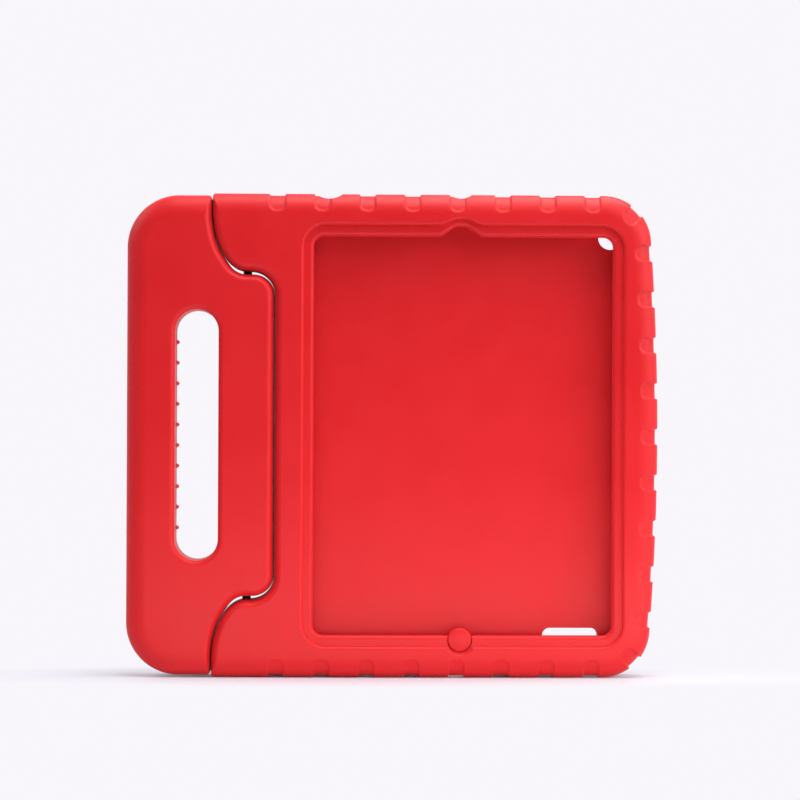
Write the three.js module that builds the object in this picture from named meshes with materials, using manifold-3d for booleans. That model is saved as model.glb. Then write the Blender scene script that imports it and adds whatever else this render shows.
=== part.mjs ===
// A child's protective case for a tablet of about 9.7 inches, moulded in soft foam.
// The case body grips the tablet behind a lip. A carrying handle turns on two pins between
// the body's ears and folds back to prop the case up. A soft pad in the lip presses the
// tablet's round button.
//
// Millimetres. X runs from the handle to the far side, Y from the front to the back, and Z up.
// The case stands on its lower edge at Z = 0, centred on X = 0, with Y = 0 at mid thickness.

import * as THREE from "three";
import { mergeVertices } from "three/addons/utils/BufferGeometryUtils.js";
import Module from "manifold-3d";

const wasm = await Module();
wasm.setup();

// The tablet that the case is moulded for.
const TABLET_WIDTH = 185.7;
const TABLET_HEIGHT = 241.2;
const TABLET_THICKNESS = 9.4;
const TABLET_CORNER = 9;
const TABLET_FIT = 0.4;

// The foam shell round it. The far side bows out a little.
const CASE_THICKNESS = 28;
const END_WALL = 8.45;
const SIDE_WALL = 11.5;
const SIDE_BOW = 3.7;
const CORNER_RADIUS = 26;
const FRONT_ROUND_INSET = 11.3;
const FRONT_ROUND_DEPTH = 8;
const BACK_ROUND_INSET = 8;
const BACK_ROUND_DEPTH = 7;

// The frame round the screen: a rim, a step down, and the lip that holds the tablet in.
const LIP_COVER_SIDE = 12.55;
const LIP_COVER_END = 13.75;
const LIP_WIDTH_SIDE = 5.3;
const LIP_WIDTH_END = 5.8;
const LIP_STEP = 2.5;
const LIP_THICKNESS = 5.5;
const LIP_EDGE_ROUND = 2.2;
const RIM_ROUND = 1.8;
const RIM_CORNER = 12;
const WINDOW_CORNER = 5.5;

// The dip in the lip over the tablet's front camera.
const FITTINGS_SHIFT = -1.5;
const DIP_TOP_WIDTH = 5.9;
const DIP_BASE_WIDTH = 21.5;
const DIP_HEIGHT = 5.4;
const RIM_DIP_HEIGHT = 3.2;
const DIP_CORNER = 5;

// The pad over the tablet's round button. Its travel brings it to the tablet's face.
const PAD_RADIUS = 6.4;
const PAD_BELOW_EDGE = 2.4;
const PAD_DOME = 0.7;
const PAD_EDGE_ROUND = 1.1;
const PAD_TRAVEL = 1.5;
const PAD_FLANGE_WIDTH = 1.8;
const PAD_FLANGE_THICKNESS = 1.2;
const PAD_GAP = 0.35;
const PAD_SEAT_GAP = 0.3;
const PAD_LANDING = 1;

// Tread grooves across the outer edge.
const GROOVE_WIDTH = 8.2;
const GROOVE_DEPTH = 1.3;
const GROOVE_FACE_DEPTH = 0.6;
const GROOVE_REACH = 9.3;
const GROOVE_END_ROUND = 3.2;
const END_GROOVES = 8;
const END_GROOVE_PITCH = 24.12;
const END_GROOVE_SHIFT = -3.3;
const SIDE_GROOVES = 9;
const SIDE_GROOVE_PITCH = 24.6;

// The handle's hinge and the seam round it. Reaches are measured from the hinge axis. The seam
// stands upright in front of the axis and is rounded off behind it, so it turns in a narrow gap.
const HINGE_FROM_BACK = 7.2;
const SLOT_WALL = 7.65;
const TAB_REACH = 14.6;
const EAR_REACH = 18.4;
const EAR_LENGTH = 41.4;
const EAR_CORNER_HEIGHT = 31.95;
const SLOT_CORNER = 13;
const TAB_END_GAP = 2;
const SWING_GAP = 0.6;
const SEAM_ROUND = 4;
const SEAM_BACK_INSET = 3.5;
const MOUTH_ROUND = 2;

// The handle, its grip hole and the finger ribs.
const HANDLE_REACH = 64;
const HANDLE_SET_IN = 1.1;
const HANDLE_CORNER_RADIUS = 28;
const GRIP_WIDTH = 25.9;
const HOLE_WIDTH = 23.1;
const HOLE_LENGTH = 134;
const HOLE_EDGE_ROUND = 3;
const RIBS = 10;
const RIB_PITCH = 11.1;
const RIB_WIDTH = 2.9;
const RIB_HEIGHT = 1.7;
const RIB_CURVE = 9;
const RIB_CHAMFER = 0.6;

// The hinge's pins, barbed where they are pushed into the ears, and the tab's bushes.
const PIN_RADIUS = 2.35;
const PIN_SHANK = 24;
const PIN_CHAMFER = 0.6;
const PIN_END_GAP = 0.5;
const BARBS = 3;
const BARB_HEIGHT = 0.8;
const BARB_START = 4;
const BARB_TAPER = 0.7;
const BUSH_WALL = 1;
const BUSH_LENGTH = 20;
const BUSH_FLOOR = 1.5;
const BUSH_INSET = 0.5;
const RUNNING_GAP = 0.25;
const SEAT_GAP = 0.25;

// Openings for the tablet's sockets, keys, speaker and rear camera.
const JACK_FROM_SIDE = 20.8;
const JACK_RADIUS = 4.5;
const JACK_SCOOP_WIDTH = 14.5;
const JACK_SCOOP_DEPTH = 2.7;
const MICROPHONE_RADIUS = 1.8;
const MICROPHONE_SCOOP_WIDTH = 11.8;
const MICROPHONE_SCOOP_DEPTH = 2.2;
const POWER_KEY_FROM_SIDE = 24;
const POWER_KEY_LENGTH = 17;
const VOLUME_KEY_FROM_END = 45;
const VOLUME_KEY_LENGTH = 42;
const KEY_SLOT_HEIGHT = 7;
const DOCK_SLOT_LENGTH = 34;
const DOCK_SLOT_HEIGHT = 8.4;
const CAMERA_INSET = 13;
const CAMERA_RADIUS = 6.5;
const CAMERA_MOUTH_RADIUS = 10;
const SPEAKER_FROM_SIDE = 34;
const SPEAKER_FROM_END = 13;
const SPEAKER_LENGTH = 30;
const SPEAKER_HEIGHT = 8;
const BACK_PANEL_DEPTH = 3.2;
const BACK_PANEL_MARGIN = 4;
const BACK_PANEL_CORNER = 12;
const BACK_PANEL_ROUND = 2;

// How far a facet may stand off its curve, and how far a cutter runs past what it cuts.
const CHORD_ERROR = 0.13;
const ROUND_STEPS = 3;
const LATHE_STEPS = 20;
const OVERSHOOT = 2;

// Places worked out from the sizes above. X and Z are measured from the tablet's middle.
const FRONT = -CASE_THICKNESS / 2;
const BACK = CASE_THICKNESS / 2;
const POCKET_HALF_WIDTH = TABLET_WIDTH / 2 + TABLET_FIT;
const POCKET_HALF_HEIGHT = TABLET_HEIGHT / 2 + TABLET_FIT;
const BODY_HALF_HEIGHT = POCKET_HALF_HEIGHT + END_WALL;
const WINDOW_HALF_WIDTH = TABLET_WIDTH / 2 - LIP_COVER_SIDE;
const WINDOW_HALF_HEIGHT = TABLET_HEIGHT / 2 - LIP_COVER_END;
const LIP_FRONT = FRONT + LIP_STEP;
const POCKET_FRONT = LIP_FRONT + LIP_THICKNESS;
const POCKET_BACK = POCKET_FRONT + TABLET_THICKNESS + TABLET_FIT;
const PORT_Y = (POCKET_FRONT + POCKET_BACK) / 2;

const SIDE_X = POCKET_HALF_WIDTH + SIDE_WALL;
const BOW_HALF_LENGTH = BODY_HALF_HEIGHT - CORNER_RADIUS;
const BOW_RADIUS = (BOW_HALF_LENGTH ** 2 + SIDE_BOW ** 2) / (2 * SIDE_BOW);
const BOW_ANGLE = Math.asin(BOW_HALF_LENGTH / BOW_RADIUS);
const BOW_PEAK_X = SIDE_X + BOW_RADIUS * (1 / Math.cos(BOW_ANGLE) - 1);
const SIDE_CORNER_X = BOW_PEAK_X - BODY_HALF_HEIGHT * Math.tan(BOW_ANGLE);

const SLOT_X = -POCKET_HALF_WIDTH - SLOT_WALL;
const HINGE_X = SLOT_X - TAB_REACH - SWING_GAP;
const HINGE_Y = BACK - HINGE_FROM_BACK;
const EAR_X = HINGE_X - EAR_REACH;
const EAR_END_Z = BODY_HALF_HEIGHT - EAR_LENGTH;
const TAB_X = HINGE_X + TAB_REACH;
const TAB_END_Z = EAR_END_Z - TAB_END_GAP;
const TAB_CORNER = SLOT_CORNER - TAB_END_GAP;
const SHOULDER_REACH = EAR_REACH + SWING_GAP;
const SHOULDER_X = HINGE_X - SHOULDER_REACH;
const SHOULDER_CORNER_HEIGHT = EAR_CORNER_HEIGHT + TAB_END_GAP;
const HANDLE_X = HINGE_X - HANDLE_REACH;
const HANDLE_HALF_HEIGHT = BODY_HALF_HEIGHT - HANDLE_SET_IN;
const HOLE_X = HANDLE_X + GRIP_WIDTH + HOLE_WIDTH / 2;
const CENTRE_X = (HANDLE_X + SIDE_X) / 2;

const PAD_Z = -WINDOW_HALF_HEIGHT - PAD_BELOW_EDGE;
const PAD_BACK = POCKET_FRONT - PAD_TRAVEL;
const PAD_FLANGE_FRONT = PAD_BACK - PAD_FLANGE_THICKNESS;
const BUSH_BORE = PIN_RADIUS + RUNNING_GAP;
const BUSH_RADIUS = BUSH_BORE + BUSH_WALL;
const BUSH_TOP = TAB_END_Z - BUSH_INSET;
const BUSH_BOTTOM = BUSH_TOP - BUSH_LENGTH;
const PIN_BOTTOM = BUSH_BOTTOM + BUSH_FLOOR + PIN_END_GAP;
const PIN_TOP = EAR_END_Z + PIN_SHANK;

const RED_FOAM = { color: new THREE.Color(0.72, 0.04, 0.05), roughness: 0.62, metalness: 0 };
const BLACK_NYLON = { color: new THREE.Color(0.02, 0.02, 0.022), roughness: 0.45, metalness: 0 };

function arcSteps(radius, angle) {
  return Math.max(2, Math.ceil(angle / (2 * Math.acos(1 - CHORD_ERROR / radius))));
}

// Outlines are drawn in the front view, anticlockwise. Each corner is [x, z] and a radius, or
// one radius along the side that arrives and one along the side that leaves, at a right angle.
// The result is a ring of points, each with the way out from it.
function roundedOutline(corners) {
  const at = (i) => new THREE.Vector2(...corners.at(i % corners.length).slice(0, 2));
  const ring = corners.flatMap(([, , along = 0, across = along], i) => {
    const corner = at(i);
    const arriving = corner.clone().sub(at(i - 1)).normalize();
    const leaving = at(i + 1).sub(corner).normalize();
    const turn = Math.atan2(arriving.cross(leaving), arriving.dot(leaving));
    const side = Math.sign(turn);
    const out = new THREE.Vector2(arriving.y, -arriving.x);
    if (along === 0) {
      const lean = new THREE.Vector2(leaving.y, -leaving.x).add(out);
      return [{ point: corner, normal: lean.divideScalar(1 + Math.cos(turn)) }];
    }
    const centre = corner
      .addScaledVector(arriving, -along * Math.tan(Math.abs(turn) / 2))
      .addScaledVector(out, -side * across);
    const steps = arcSteps(Math.max(along, across), Math.abs(turn));
    return Array.from({ length: steps + 1 }, (_, k) => {
      const angle = (Math.abs(turn) * k) / steps;
      const point = centre
        .clone()
        .addScaledVector(out, side * across * Math.cos(angle))
        .addScaledVector(arriving, along * Math.sin(angle));
      const normal = new THREE.Vector2()
        .addScaledVector(out, Math.cos(angle) / across)
        .addScaledVector(arriving, (side * Math.sin(angle)) / along)
        .normalize();
      return { point, normal };
    });
  });
  return ring.filter(({ point }, i) => point.distanceTo(ring.at(i - 1).point) > CHORD_ERROR / 10);
}

function rectangle(x, z, halfWidth, halfHeight, radius) {
  return roundedOutline([
    [x - halfWidth, z - halfHeight, radius],
    [x + halfWidth, z - halfHeight, radius],
    [x + halfWidth, z + halfHeight, radius],
    [x - halfWidth, z + halfHeight, radius],
  ]);
}

function solidOf(geometry) {
  const bare = geometry.clone();
  bare.deleteAttribute("normal");
  bare.deleteAttribute("uv");
  const merged = mergeVertices(bare);
  return new wasm.Manifold(
    new wasm.Mesh({
      numProp: 3,
      vertProperties: merged.attributes.position.array,
      triVerts: new Uint32Array(merged.index.array),
    }),
  );
}

// Sets copies of one outline behind each other, each at its own depth and grown or shrunk by
// its own amount, and closes the ends.
function loft(ring, layers) {
  const count = ring.length;
  const last = (layers.length - 1) * count;
  const rings = layers.map(({ grow }) =>
    ring.map(({ point, normal }) => point.clone().addScaledVector(normal, grow)),
  );
  const positions = rings.flatMap((points, k) => points.flatMap(({ x, y }) => [x, layers[k].y, y]));
  const index = [];
  for (let front = 0; front < last; front += count) {
    for (let i = 0; i < count; i++) {
      const next = (i + 1) % count;
      index.push(front + i, front + count + next, front + next);
      index.push(front + i, front + count + i, front + count + next);
    }
  }
  for (const [a, b, c] of THREE.ShapeUtils.triangulateShape(rings[0], [])) {
    index.push(a, b, c);
  }
  for (const [a, b, c] of THREE.ShapeUtils.triangulateShape(rings.at(-1), [])) {
    index.push(last + c, last + b, last + a);
  }
  const geometry = new THREE.BufferGeometry();
  geometry.setAttribute("position", new THREE.Float32BufferAttribute(positions, 3));
  geometry.setIndex(index);
  return solidOf(geometry);
}

// A quarter round from a face to a side: how deep each step lies, and how far in.
function quarterRound(depth, inset = depth) {
  return Array.from({ length: ROUND_STEPS + 1 }, (_, k) => {
    const angle = (Math.PI / 2) * (k / ROUND_STEPS);
    return { depth: depth * (1 - Math.cos(angle)), inset: inset * (1 - Math.sin(angle)) };
  });
}

// Layers of a block whose front and back edges are rounded.
function roundedBlock(front, back, frontRound, backRound) {
  return [
    ...frontRound.map(({ depth, inset }) => ({ y: front + depth, grow: -inset })),
    ...backRound.map(({ depth, inset }) => ({ y: back - depth, grow: -inset })).reverse(),
  ];
}

// Layers of a cutter that enters at a face and leaves its edge rounded.
function roundedEntry(face, to, radius) {
  const way = Math.sign(to - face);
  const layers = [
    { y: face - way * OVERSHOOT, grow: radius },
    ...quarterRound(radius).map(({ depth, inset }) => ({ y: face + way * depth, grow: inset })),
    { y: to, grow: 0 },
  ];
  return way > 0 ? layers : layers.reverse();
}

function straightThrough(from = FRONT - OVERSHOOT, to = BACK + OVERSHOOT) {
  return [
    { y: from, grow: 0 },
    { y: to, grow: 0 },
  ];
}

// A turned solid from a half profile of [radius, height], with its axis along Y or Z.
function turned(profile, axis, x = 0, y = 0, z = 0) {
  const points = profile.map(([radius, height]) => new THREE.Vector2(radius, height));
  const geometry = new THREE.LatheGeometry(points, LATHE_STEPS);
  if (axis === "z") {
    geometry.rotateX(Math.PI / 2);
  }
  geometry.translate(x, y, z);
  return solidOf(geometry);
}

function plug(axis, from, to, radius, x, y, z, endRadius = radius) {
  const profile = [
    [0, from],
    [radius, from],
    [endRadius, to],
    [0, to],
  ];
  return turned(profile, axis, x, y, z);
}

// A slot with round ends, cut outwards through a wall along X, Y or Z. Its height runs through
// the case's thickness, or up where the cut does that.
function slot(axis, from, to, length, height, x, y, z) {
  const half = height / 2;
  const long = length / 2;
  if (axis === "x") {
    const upright = loft(rectangle(0, 0, half, long, half), straightThrough(from, to));
    return upright.rotate([0, 0, -90]).translate([x, y, z]);
  }
  const flat = loft(rectangle(0, 0, long, half, half), straightThrough(from, to));
  return (axis === "z" ? flat.rotate([90, 0, 0]) : flat).translate([x, y, z]);
}

function combine(solids) {
  return solids.reduce((whole, solid) => whole.add(solid));
}

function mirrored(solid) {
  return solid.mirror([0, 0, 1]);
}

function bothEnds(solid) {
  return solid.add(mirrored(solid));
}

function pieceOf(name, solid, material) {
  const mesh = solid.getMesh();
  const geometry = new THREE.BufferGeometry();
  geometry.setAttribute("position", new THREE.BufferAttribute(mesh.vertProperties, 3));
  geometry.setIndex(new THREE.BufferAttribute(mesh.triVerts, 1));
  geometry.computeVertexNormals();
  const piece = new THREE.Mesh(geometry, new THREE.MeshStandardMaterial(material));
  piece.name = name;
  return piece;
}

function outerBlock(ring, sink = 0, faceSink = 0) {
  const layers = roundedBlock(
    FRONT + faceSink,
    BACK - faceSink,
    quarterRound(FRONT_ROUND_DEPTH, FRONT_ROUND_INSET),
    quarterRound(BACK_ROUND_DEPTH, BACK_ROUND_INSET),
  );
  return loft(
    ring,
    layers.map(({ y, grow }) => ({ y, grow: grow - sink })),
  );
}

// The side of a block that the seam cuts away, well clear of the seam and of the edge rounds.
const SPARE = FRONT_ROUND_INSET + SEAM_ROUND + OVERSHOOT;

function bodyOutline() {
  const spareX = EAR_X - SPARE;
  return roundedOutline([
    [spareX, -BODY_HALF_HEIGHT],
    [SIDE_CORNER_X, -BODY_HALF_HEIGHT, CORNER_RADIUS],
    [BOW_PEAK_X, 0, BOW_RADIUS],
    [SIDE_CORNER_X, BODY_HALF_HEIGHT, CORNER_RADIUS],
    [spareX, BODY_HALF_HEIGHT],
  ]);
}

function handleOutline() {
  const spareX = TAB_X + SPARE;
  return roundedOutline([
    [HANDLE_X, -HANDLE_HALF_HEIGHT, HANDLE_CORNER_RADIUS],
    [spareX, -HANDLE_HALF_HEIGHT],
    [spareX, HANDLE_HALF_HEIGHT],
    [HANDLE_X, HANDLE_HALF_HEIGHT, HANDLE_CORNER_RADIUS],
  ]);
}

// The block that keeps one side of the seam. Its seam edges are rounded front and back, and
// its other sides stand clear of the part.
function seamBlock(corners) {
  return loft(
    roundedOutline(corners),
    roundedBlock(
      FRONT,
      BACK,
      quarterRound(SEAM_ROUND),
      quarterRound(HINGE_FROM_BACK, SEAM_BACK_INSET),
    ),
  );
}

function bodySeamBlock() {
  const farX = SIDE_X + SPARE;
  const far = BODY_HALF_HEIGHT + SPARE;
  return seamBlock([
    [EAR_X, -far],
    [farX, -far],
    [farX, far],
    [EAR_X, far],
    [EAR_X, EAR_END_Z, EAR_CORNER_HEIGHT, EAR_REACH],
    [SLOT_X, EAR_END_Z, SLOT_CORNER],
    [SLOT_X, -EAR_END_Z, SLOT_CORNER],
    [EAR_X, -EAR_END_Z, EAR_REACH, EAR_CORNER_HEIGHT],
  ]);
}

function handleSeamBlock() {
  const farX = HANDLE_X - SPARE;
  const far = HANDLE_HALF_HEIGHT + SPARE;
  return seamBlock([
    [farX, -far],
    [SHOULDER_X, -far],
    [SHOULDER_X, -TAB_END_Z, SHOULDER_CORNER_HEIGHT, SHOULDER_REACH],
    [TAB_X, -TAB_END_Z, TAB_CORNER],
    [TAB_X, TAB_END_Z, TAB_CORNER],
    [SHOULDER_X, TAB_END_Z, SHOULDER_REACH, SHOULDER_CORNER_HEIGHT],
    [SHOULDER_X, far],
    [farX, far],
  ]);
}

// Cuts the upper corner at the mouth of the seam round. The corner faces left or right.
function mouthCorner(x, z, facing) {
  const centre = new THREE.Vector2(x - facing * MOUTH_ROUND, z - MOUTH_ROUND);
  const steps = arcSteps(MOUTH_ROUND, Math.PI / 2);
  const arc = Array.from({ length: steps + 1 }, (_, k) => {
    const angle = (Math.PI / 2) * (k / steps);
    return new THREE.Vector2(
      centre.x + facing * MOUTH_ROUND * Math.cos(angle),
      centre.y + MOUTH_ROUND * Math.sin(angle),
    );
  });
  const points = [
    ...arc,
    new THREE.Vector2(centre.x, z + OVERSHOOT),
    new THREE.Vector2(x + facing * OVERSHOOT, z + OVERSHOOT),
    new THREE.Vector2(x + facing * OVERSHOOT, centre.y),
  ];
  const outline = facing > 0 ? points.reverse() : points;
  return loft(
    outline.map((point) => ({ point, normal: new THREE.Vector2() })),
    straightThrough(),
  );
}

function sideEdgeX(z) {
  return SIDE_X - BOW_RADIUS + Math.sqrt(BOW_RADIUS ** 2 - z ** 2);
}

// Grooves across the outer edge: along the top and bottom, down the far side, and one across
// each far corner. Each is cut as deep as the sunk copy of the body's block lets it.
function treadGrooves(outline) {
  const half = GROOVE_WIDTH / 2;
  const groove = roundedOutline([
    [-half, -GROOVE_REACH, GROOVE_END_ROUND],
    [half, -GROOVE_REACH, GROOVE_END_ROUND],
    [half, OVERSHOOT],
    [-half, OVERSHOOT],
  ]);
  const origin = new THREE.Vector2();
  const grooveAt = (x, z, facing) => {
    const place = new THREE.Vector2(x, z);
    const ring = groove.map(({ point, normal }) => ({
      point: point.clone().rotateAround(origin, facing).add(place),
      normal: normal.clone().rotateAround(origin, facing),
    }));
    return loft(ring, straightThrough());
  };
  const upper = [];
  for (let k = 0; k < END_GROOVES; k++) {
    const x = END_GROOVE_SHIFT + (k - END_GROOVES / 2) * END_GROOVE_PITCH;
    upper.push(grooveAt(x, BODY_HALF_HEIGHT, 0));
  }
  const diagonal = CORNER_RADIUS * Math.SQRT1_2;
  const cornerX = sideEdgeX(BOW_HALF_LENGTH) - CORNER_RADIUS + diagonal;
  upper.push(grooveAt(cornerX, BOW_HALF_LENGTH + diagonal, -Math.PI / 4));
  const side = [];
  for (let k = 0; k < SIDE_GROOVES; k++) {
    const z = (k - (SIDE_GROOVES - 1) / 2) * SIDE_GROOVE_PITCH;
    side.push(grooveAt(sideEdgeX(z), z, -Math.PI / 2));
  }
  return bothEnds(combine(upper))
    .add(combine(side))
    .subtract(outerBlock(outline, GROOVE_DEPTH, GROOVE_FACE_DEPTH));
}

// A window outline with the camera dip in its upper edge.
function dippedOutline(halfWidth, halfHeight, corner, dipHeight) {
  const top = DIP_TOP_WIDTH / 2;
  const base = DIP_BASE_WIDTH / 2;
  return roundedOutline([
    [-halfWidth, -halfHeight, corner],
    [halfWidth, -halfHeight, corner],
    [halfWidth, halfHeight, corner],
    [FITTINGS_SHIFT + base, halfHeight, DIP_CORNER],
    [FITTINGS_SHIFT + top, halfHeight + dipHeight, DIP_CORNER],
    [FITTINGS_SHIFT - top, halfHeight + dipHeight, DIP_CORNER],
    [FITTINGS_SHIFT - base, halfHeight, DIP_CORNER],
    [-halfWidth, halfHeight, corner],
  ]);
}

// The tablet's bay, the window in front of it and the step down to the lip.
function screenOpening() {
  const rim = dippedOutline(
    WINDOW_HALF_WIDTH + LIP_WIDTH_SIDE,
    WINDOW_HALF_HEIGHT + LIP_WIDTH_END,
    RIM_CORNER,
    RIM_DIP_HEIGHT,
  );
  const window = dippedOutline(WINDOW_HALF_WIDTH, WINDOW_HALF_HEIGHT, WINDOW_CORNER, DIP_HEIGHT);
  const pocket = rectangle(0, 0, POCKET_HALF_WIDTH, POCKET_HALF_HEIGHT, TABLET_CORNER);
  return combine([
    loft(rim, roundedEntry(FRONT, LIP_FRONT, RIM_ROUND)),
    loft(window, roundedEntry(LIP_FRONT, POCKET_BACK, LIP_EDGE_ROUND)),
    loft(pocket, straightThrough(POCKET_FRONT, POCKET_BACK)),
  ]);
}

// The pad's seat: a landing at the lip's level, a bore, and a pocket behind for the flange.
function padSeat() {
  const landing = PAD_RADIUS + PAD_LANDING;
  const bore = PAD_RADIUS + PAD_GAP;
  const pocket = PAD_RADIUS + PAD_FLANGE_WIDTH + PAD_GAP;
  const pocketFront = PAD_FLANGE_FRONT - PAD_SEAT_GAP;
  return combine([
    loft(
      rectangle(FITTINGS_SHIFT, PAD_Z, landing, landing, landing),
      roundedEntry(FRONT, LIP_FRONT, RIM_ROUND),
    ),
    plug("y", LIP_FRONT - OVERSHOOT, POCKET_BACK, bore, FITTINGS_SHIFT, 0, PAD_Z),
    plug("y", pocketFront, POCKET_BACK, pocket, FITTINGS_SHIFT, 0, PAD_Z),
  ]);
}

// A shallow scoop across the top edge, cut through the whole thickness.
function scoop(x, width, depth) {
  const radius = (width ** 2 / 4 + depth ** 2) / (2 * depth);
  const z = BODY_HALF_HEIGHT - depth + radius;
  return plug("y", FRONT - OVERSHOOT, BACK + OVERSHOOT, radius, x, 0, z);
}

// Openings in the walls for the sockets and keys on the tablet's edges.
function edgePorts() {
  const jackX = -TABLET_WIDTH / 2 + JACK_FROM_SIDE;
  const powerX = TABLET_WIDTH / 2 - POWER_KEY_FROM_SIDE;
  const volumeZ = TABLET_HEIGHT / 2 - VOLUME_KEY_FROM_END;
  const inner = POCKET_HALF_HEIGHT - OVERSHOOT;
  const outer = BODY_HALF_HEIGHT + OVERSHOOT;
  const sideInner = POCKET_HALF_WIDTH - OVERSHOOT;
  const sideOuter = SIDE_X + OVERSHOOT;
  return combine([
    scoop(jackX, JACK_SCOOP_WIDTH, JACK_SCOOP_DEPTH),
    scoop(FITTINGS_SHIFT, MICROPHONE_SCOOP_WIDTH, MICROPHONE_SCOOP_DEPTH),
    plug("z", inner, outer, JACK_RADIUS, jackX, PORT_Y, 0),
    plug("z", inner, outer, MICROPHONE_RADIUS, FITTINGS_SHIFT, PORT_Y, 0),
    slot("z", inner, outer, POWER_KEY_LENGTH, KEY_SLOT_HEIGHT, powerX, PORT_Y, 0),
    slot("x", sideInner, sideOuter, VOLUME_KEY_LENGTH, KEY_SLOT_HEIGHT, 0, PORT_Y, volumeZ),
    slot("z", -outer, -inner, DOCK_SLOT_LENGTH, DOCK_SLOT_HEIGHT, FITTINGS_SHIFT, PORT_Y, 0),
  ]);
}

// The sunk back panel, with the rear camera's flared hole and the speaker's slot.
function backOpenings() {
  const panel = rectangle(
    0,
    0,
    POCKET_HALF_WIDTH - BACK_PANEL_MARGIN,
    POCKET_HALF_HEIGHT - BACK_PANEL_MARGIN,
    BACK_PANEL_CORNER,
  );
  const floor = BACK - BACK_PANEL_DEPTH;
  const inside = POCKET_BACK - OVERSHOOT;
  const cameraX = TABLET_WIDTH / 2 - CAMERA_INSET;
  const cameraZ = TABLET_HEIGHT / 2 - CAMERA_INSET;
  const speakerX = TABLET_WIDTH / 2 - SPEAKER_FROM_SIDE;
  const speakerZ = -TABLET_HEIGHT / 2 + SPEAKER_FROM_END;
  return combine([
    loft(panel, roundedEntry(BACK, floor, BACK_PANEL_ROUND)),
    plug("y", inside, floor + OVERSHOOT, CAMERA_RADIUS, cameraX, 0, cameraZ),
    plug("y", POCKET_BACK, floor, CAMERA_RADIUS, cameraX, 0, cameraZ, CAMERA_MOUTH_RADIUS),
    slot("y", inside, BACK, SPEAKER_LENGTH, SPEAKER_HEIGHT, speakerX, 0, speakerZ),
  ]);
}

// The upper pin's half profile. Its barbs stop it from pulling out of the ear. Grown by the
// seat gap, it is the bore that holds it.
function pinProfile(grow = 0) {
  const pitch = (PIN_SHANK - BARB_START - PIN_CHAMFER) / BARBS;
  const radius = PIN_RADIUS + grow;
  const profile = [
    [0, PIN_BOTTOM - grow],
    [radius - PIN_CHAMFER, PIN_BOTTOM - grow],
    [radius, PIN_BOTTOM + PIN_CHAMFER],
  ];
  for (let k = 0; k < BARBS; k++) {
    const z = EAR_END_Z + BARB_START + k * pitch;
    profile.push([radius, z - grow], [radius + BARB_HEIGHT, z - grow]);
    profile.push([radius, z + pitch * BARB_TAPER + grow]);
  }
  profile.push([radius, PIN_TOP - PIN_CHAMFER + grow]);
  profile.push([radius - PIN_CHAMFER, PIN_TOP + grow]);
  profile.push([0, PIN_TOP + grow]);
  return profile;
}

function bushSolid() {
  const profile = [
    [0, BUSH_BOTTOM],
    [BUSH_RADIUS, BUSH_BOTTOM],
    [BUSH_RADIUS, BUSH_TOP],
    [BUSH_BORE, BUSH_TOP],
    [BUSH_BORE, BUSH_BOTTOM + BUSH_FLOOR],
    [0, BUSH_BOTTOM + BUSH_FLOOR],
  ];
  return turned(profile, "z", HINGE_X, HINGE_Y);
}

function bodySolid() {
  const outline = bodyOutline();
  const pinBore = turned(pinProfile(SEAT_GAP), "z", HINGE_X, HINGE_Y);
  const cuts = combine([
    treadGrooves(outline),
    screenOpening(),
    padSeat(),
    edgePorts(),
    backOpenings(),
    bothEnds(mouthCorner(EAR_X, BODY_HALF_HEIGHT, -1).add(pinBore)),
  ]);
  return outerBlock(outline).intersect(bodySeamBlock()).subtract(cuts);
}

// Ridges for the fingers, round the back edge of the grip inside the hole.
function fingerRibs() {
  const half = RIB_WIDTH / 2;
  const x = HANDLE_X + GRIP_WIDTH + RIB_HEIGHT - RIB_CURVE;
  const profile = [
    [0, -half],
    [RIB_CURVE - RIB_CHAMFER, -half],
    [RIB_CURVE, -half + RIB_CHAMFER],
    [RIB_CURVE, half - RIB_CHAMFER],
    [RIB_CURVE - RIB_CHAMFER, half],
    [0, half],
  ];
  return combine(
    Array.from({ length: RIBS }, (_, k) => {
      const z = (k - (RIBS - 1) / 2) * RIB_PITCH;
      return turned(profile, "z", x, BACK - RIB_CURVE, z);
    }),
  );
}

function handleSolid() {
  const holeRing = rectangle(HOLE_X, 0, HOLE_WIDTH / 2, HOLE_LENGTH / 2, HOLE_WIDTH / 2);
  const hole = loft(holeRing, roundedEntry(FRONT, 0, HOLE_EDGE_ROUND)).add(
    loft(holeRing, roundedEntry(BACK, -OVERSHOOT, HOLE_EDGE_ROUND)),
  );
  const bushBore = plug(
    "z",
    BUSH_BOTTOM - SEAT_GAP,
    TAB_END_Z + OVERSHOOT,
    BUSH_RADIUS + SEAT_GAP,
    HINGE_X,
    HINGE_Y,
    0,
  );
  return outerBlock(handleOutline())
    .intersect(handleSeamBlock())
    .subtract(hole)
    .add(fingerRibs())
    .subtract(bothEnds(bushBore.add(mouthCorner(SHOULDER_X, HANDLE_HALF_HEIGHT, 1))));
}

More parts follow.
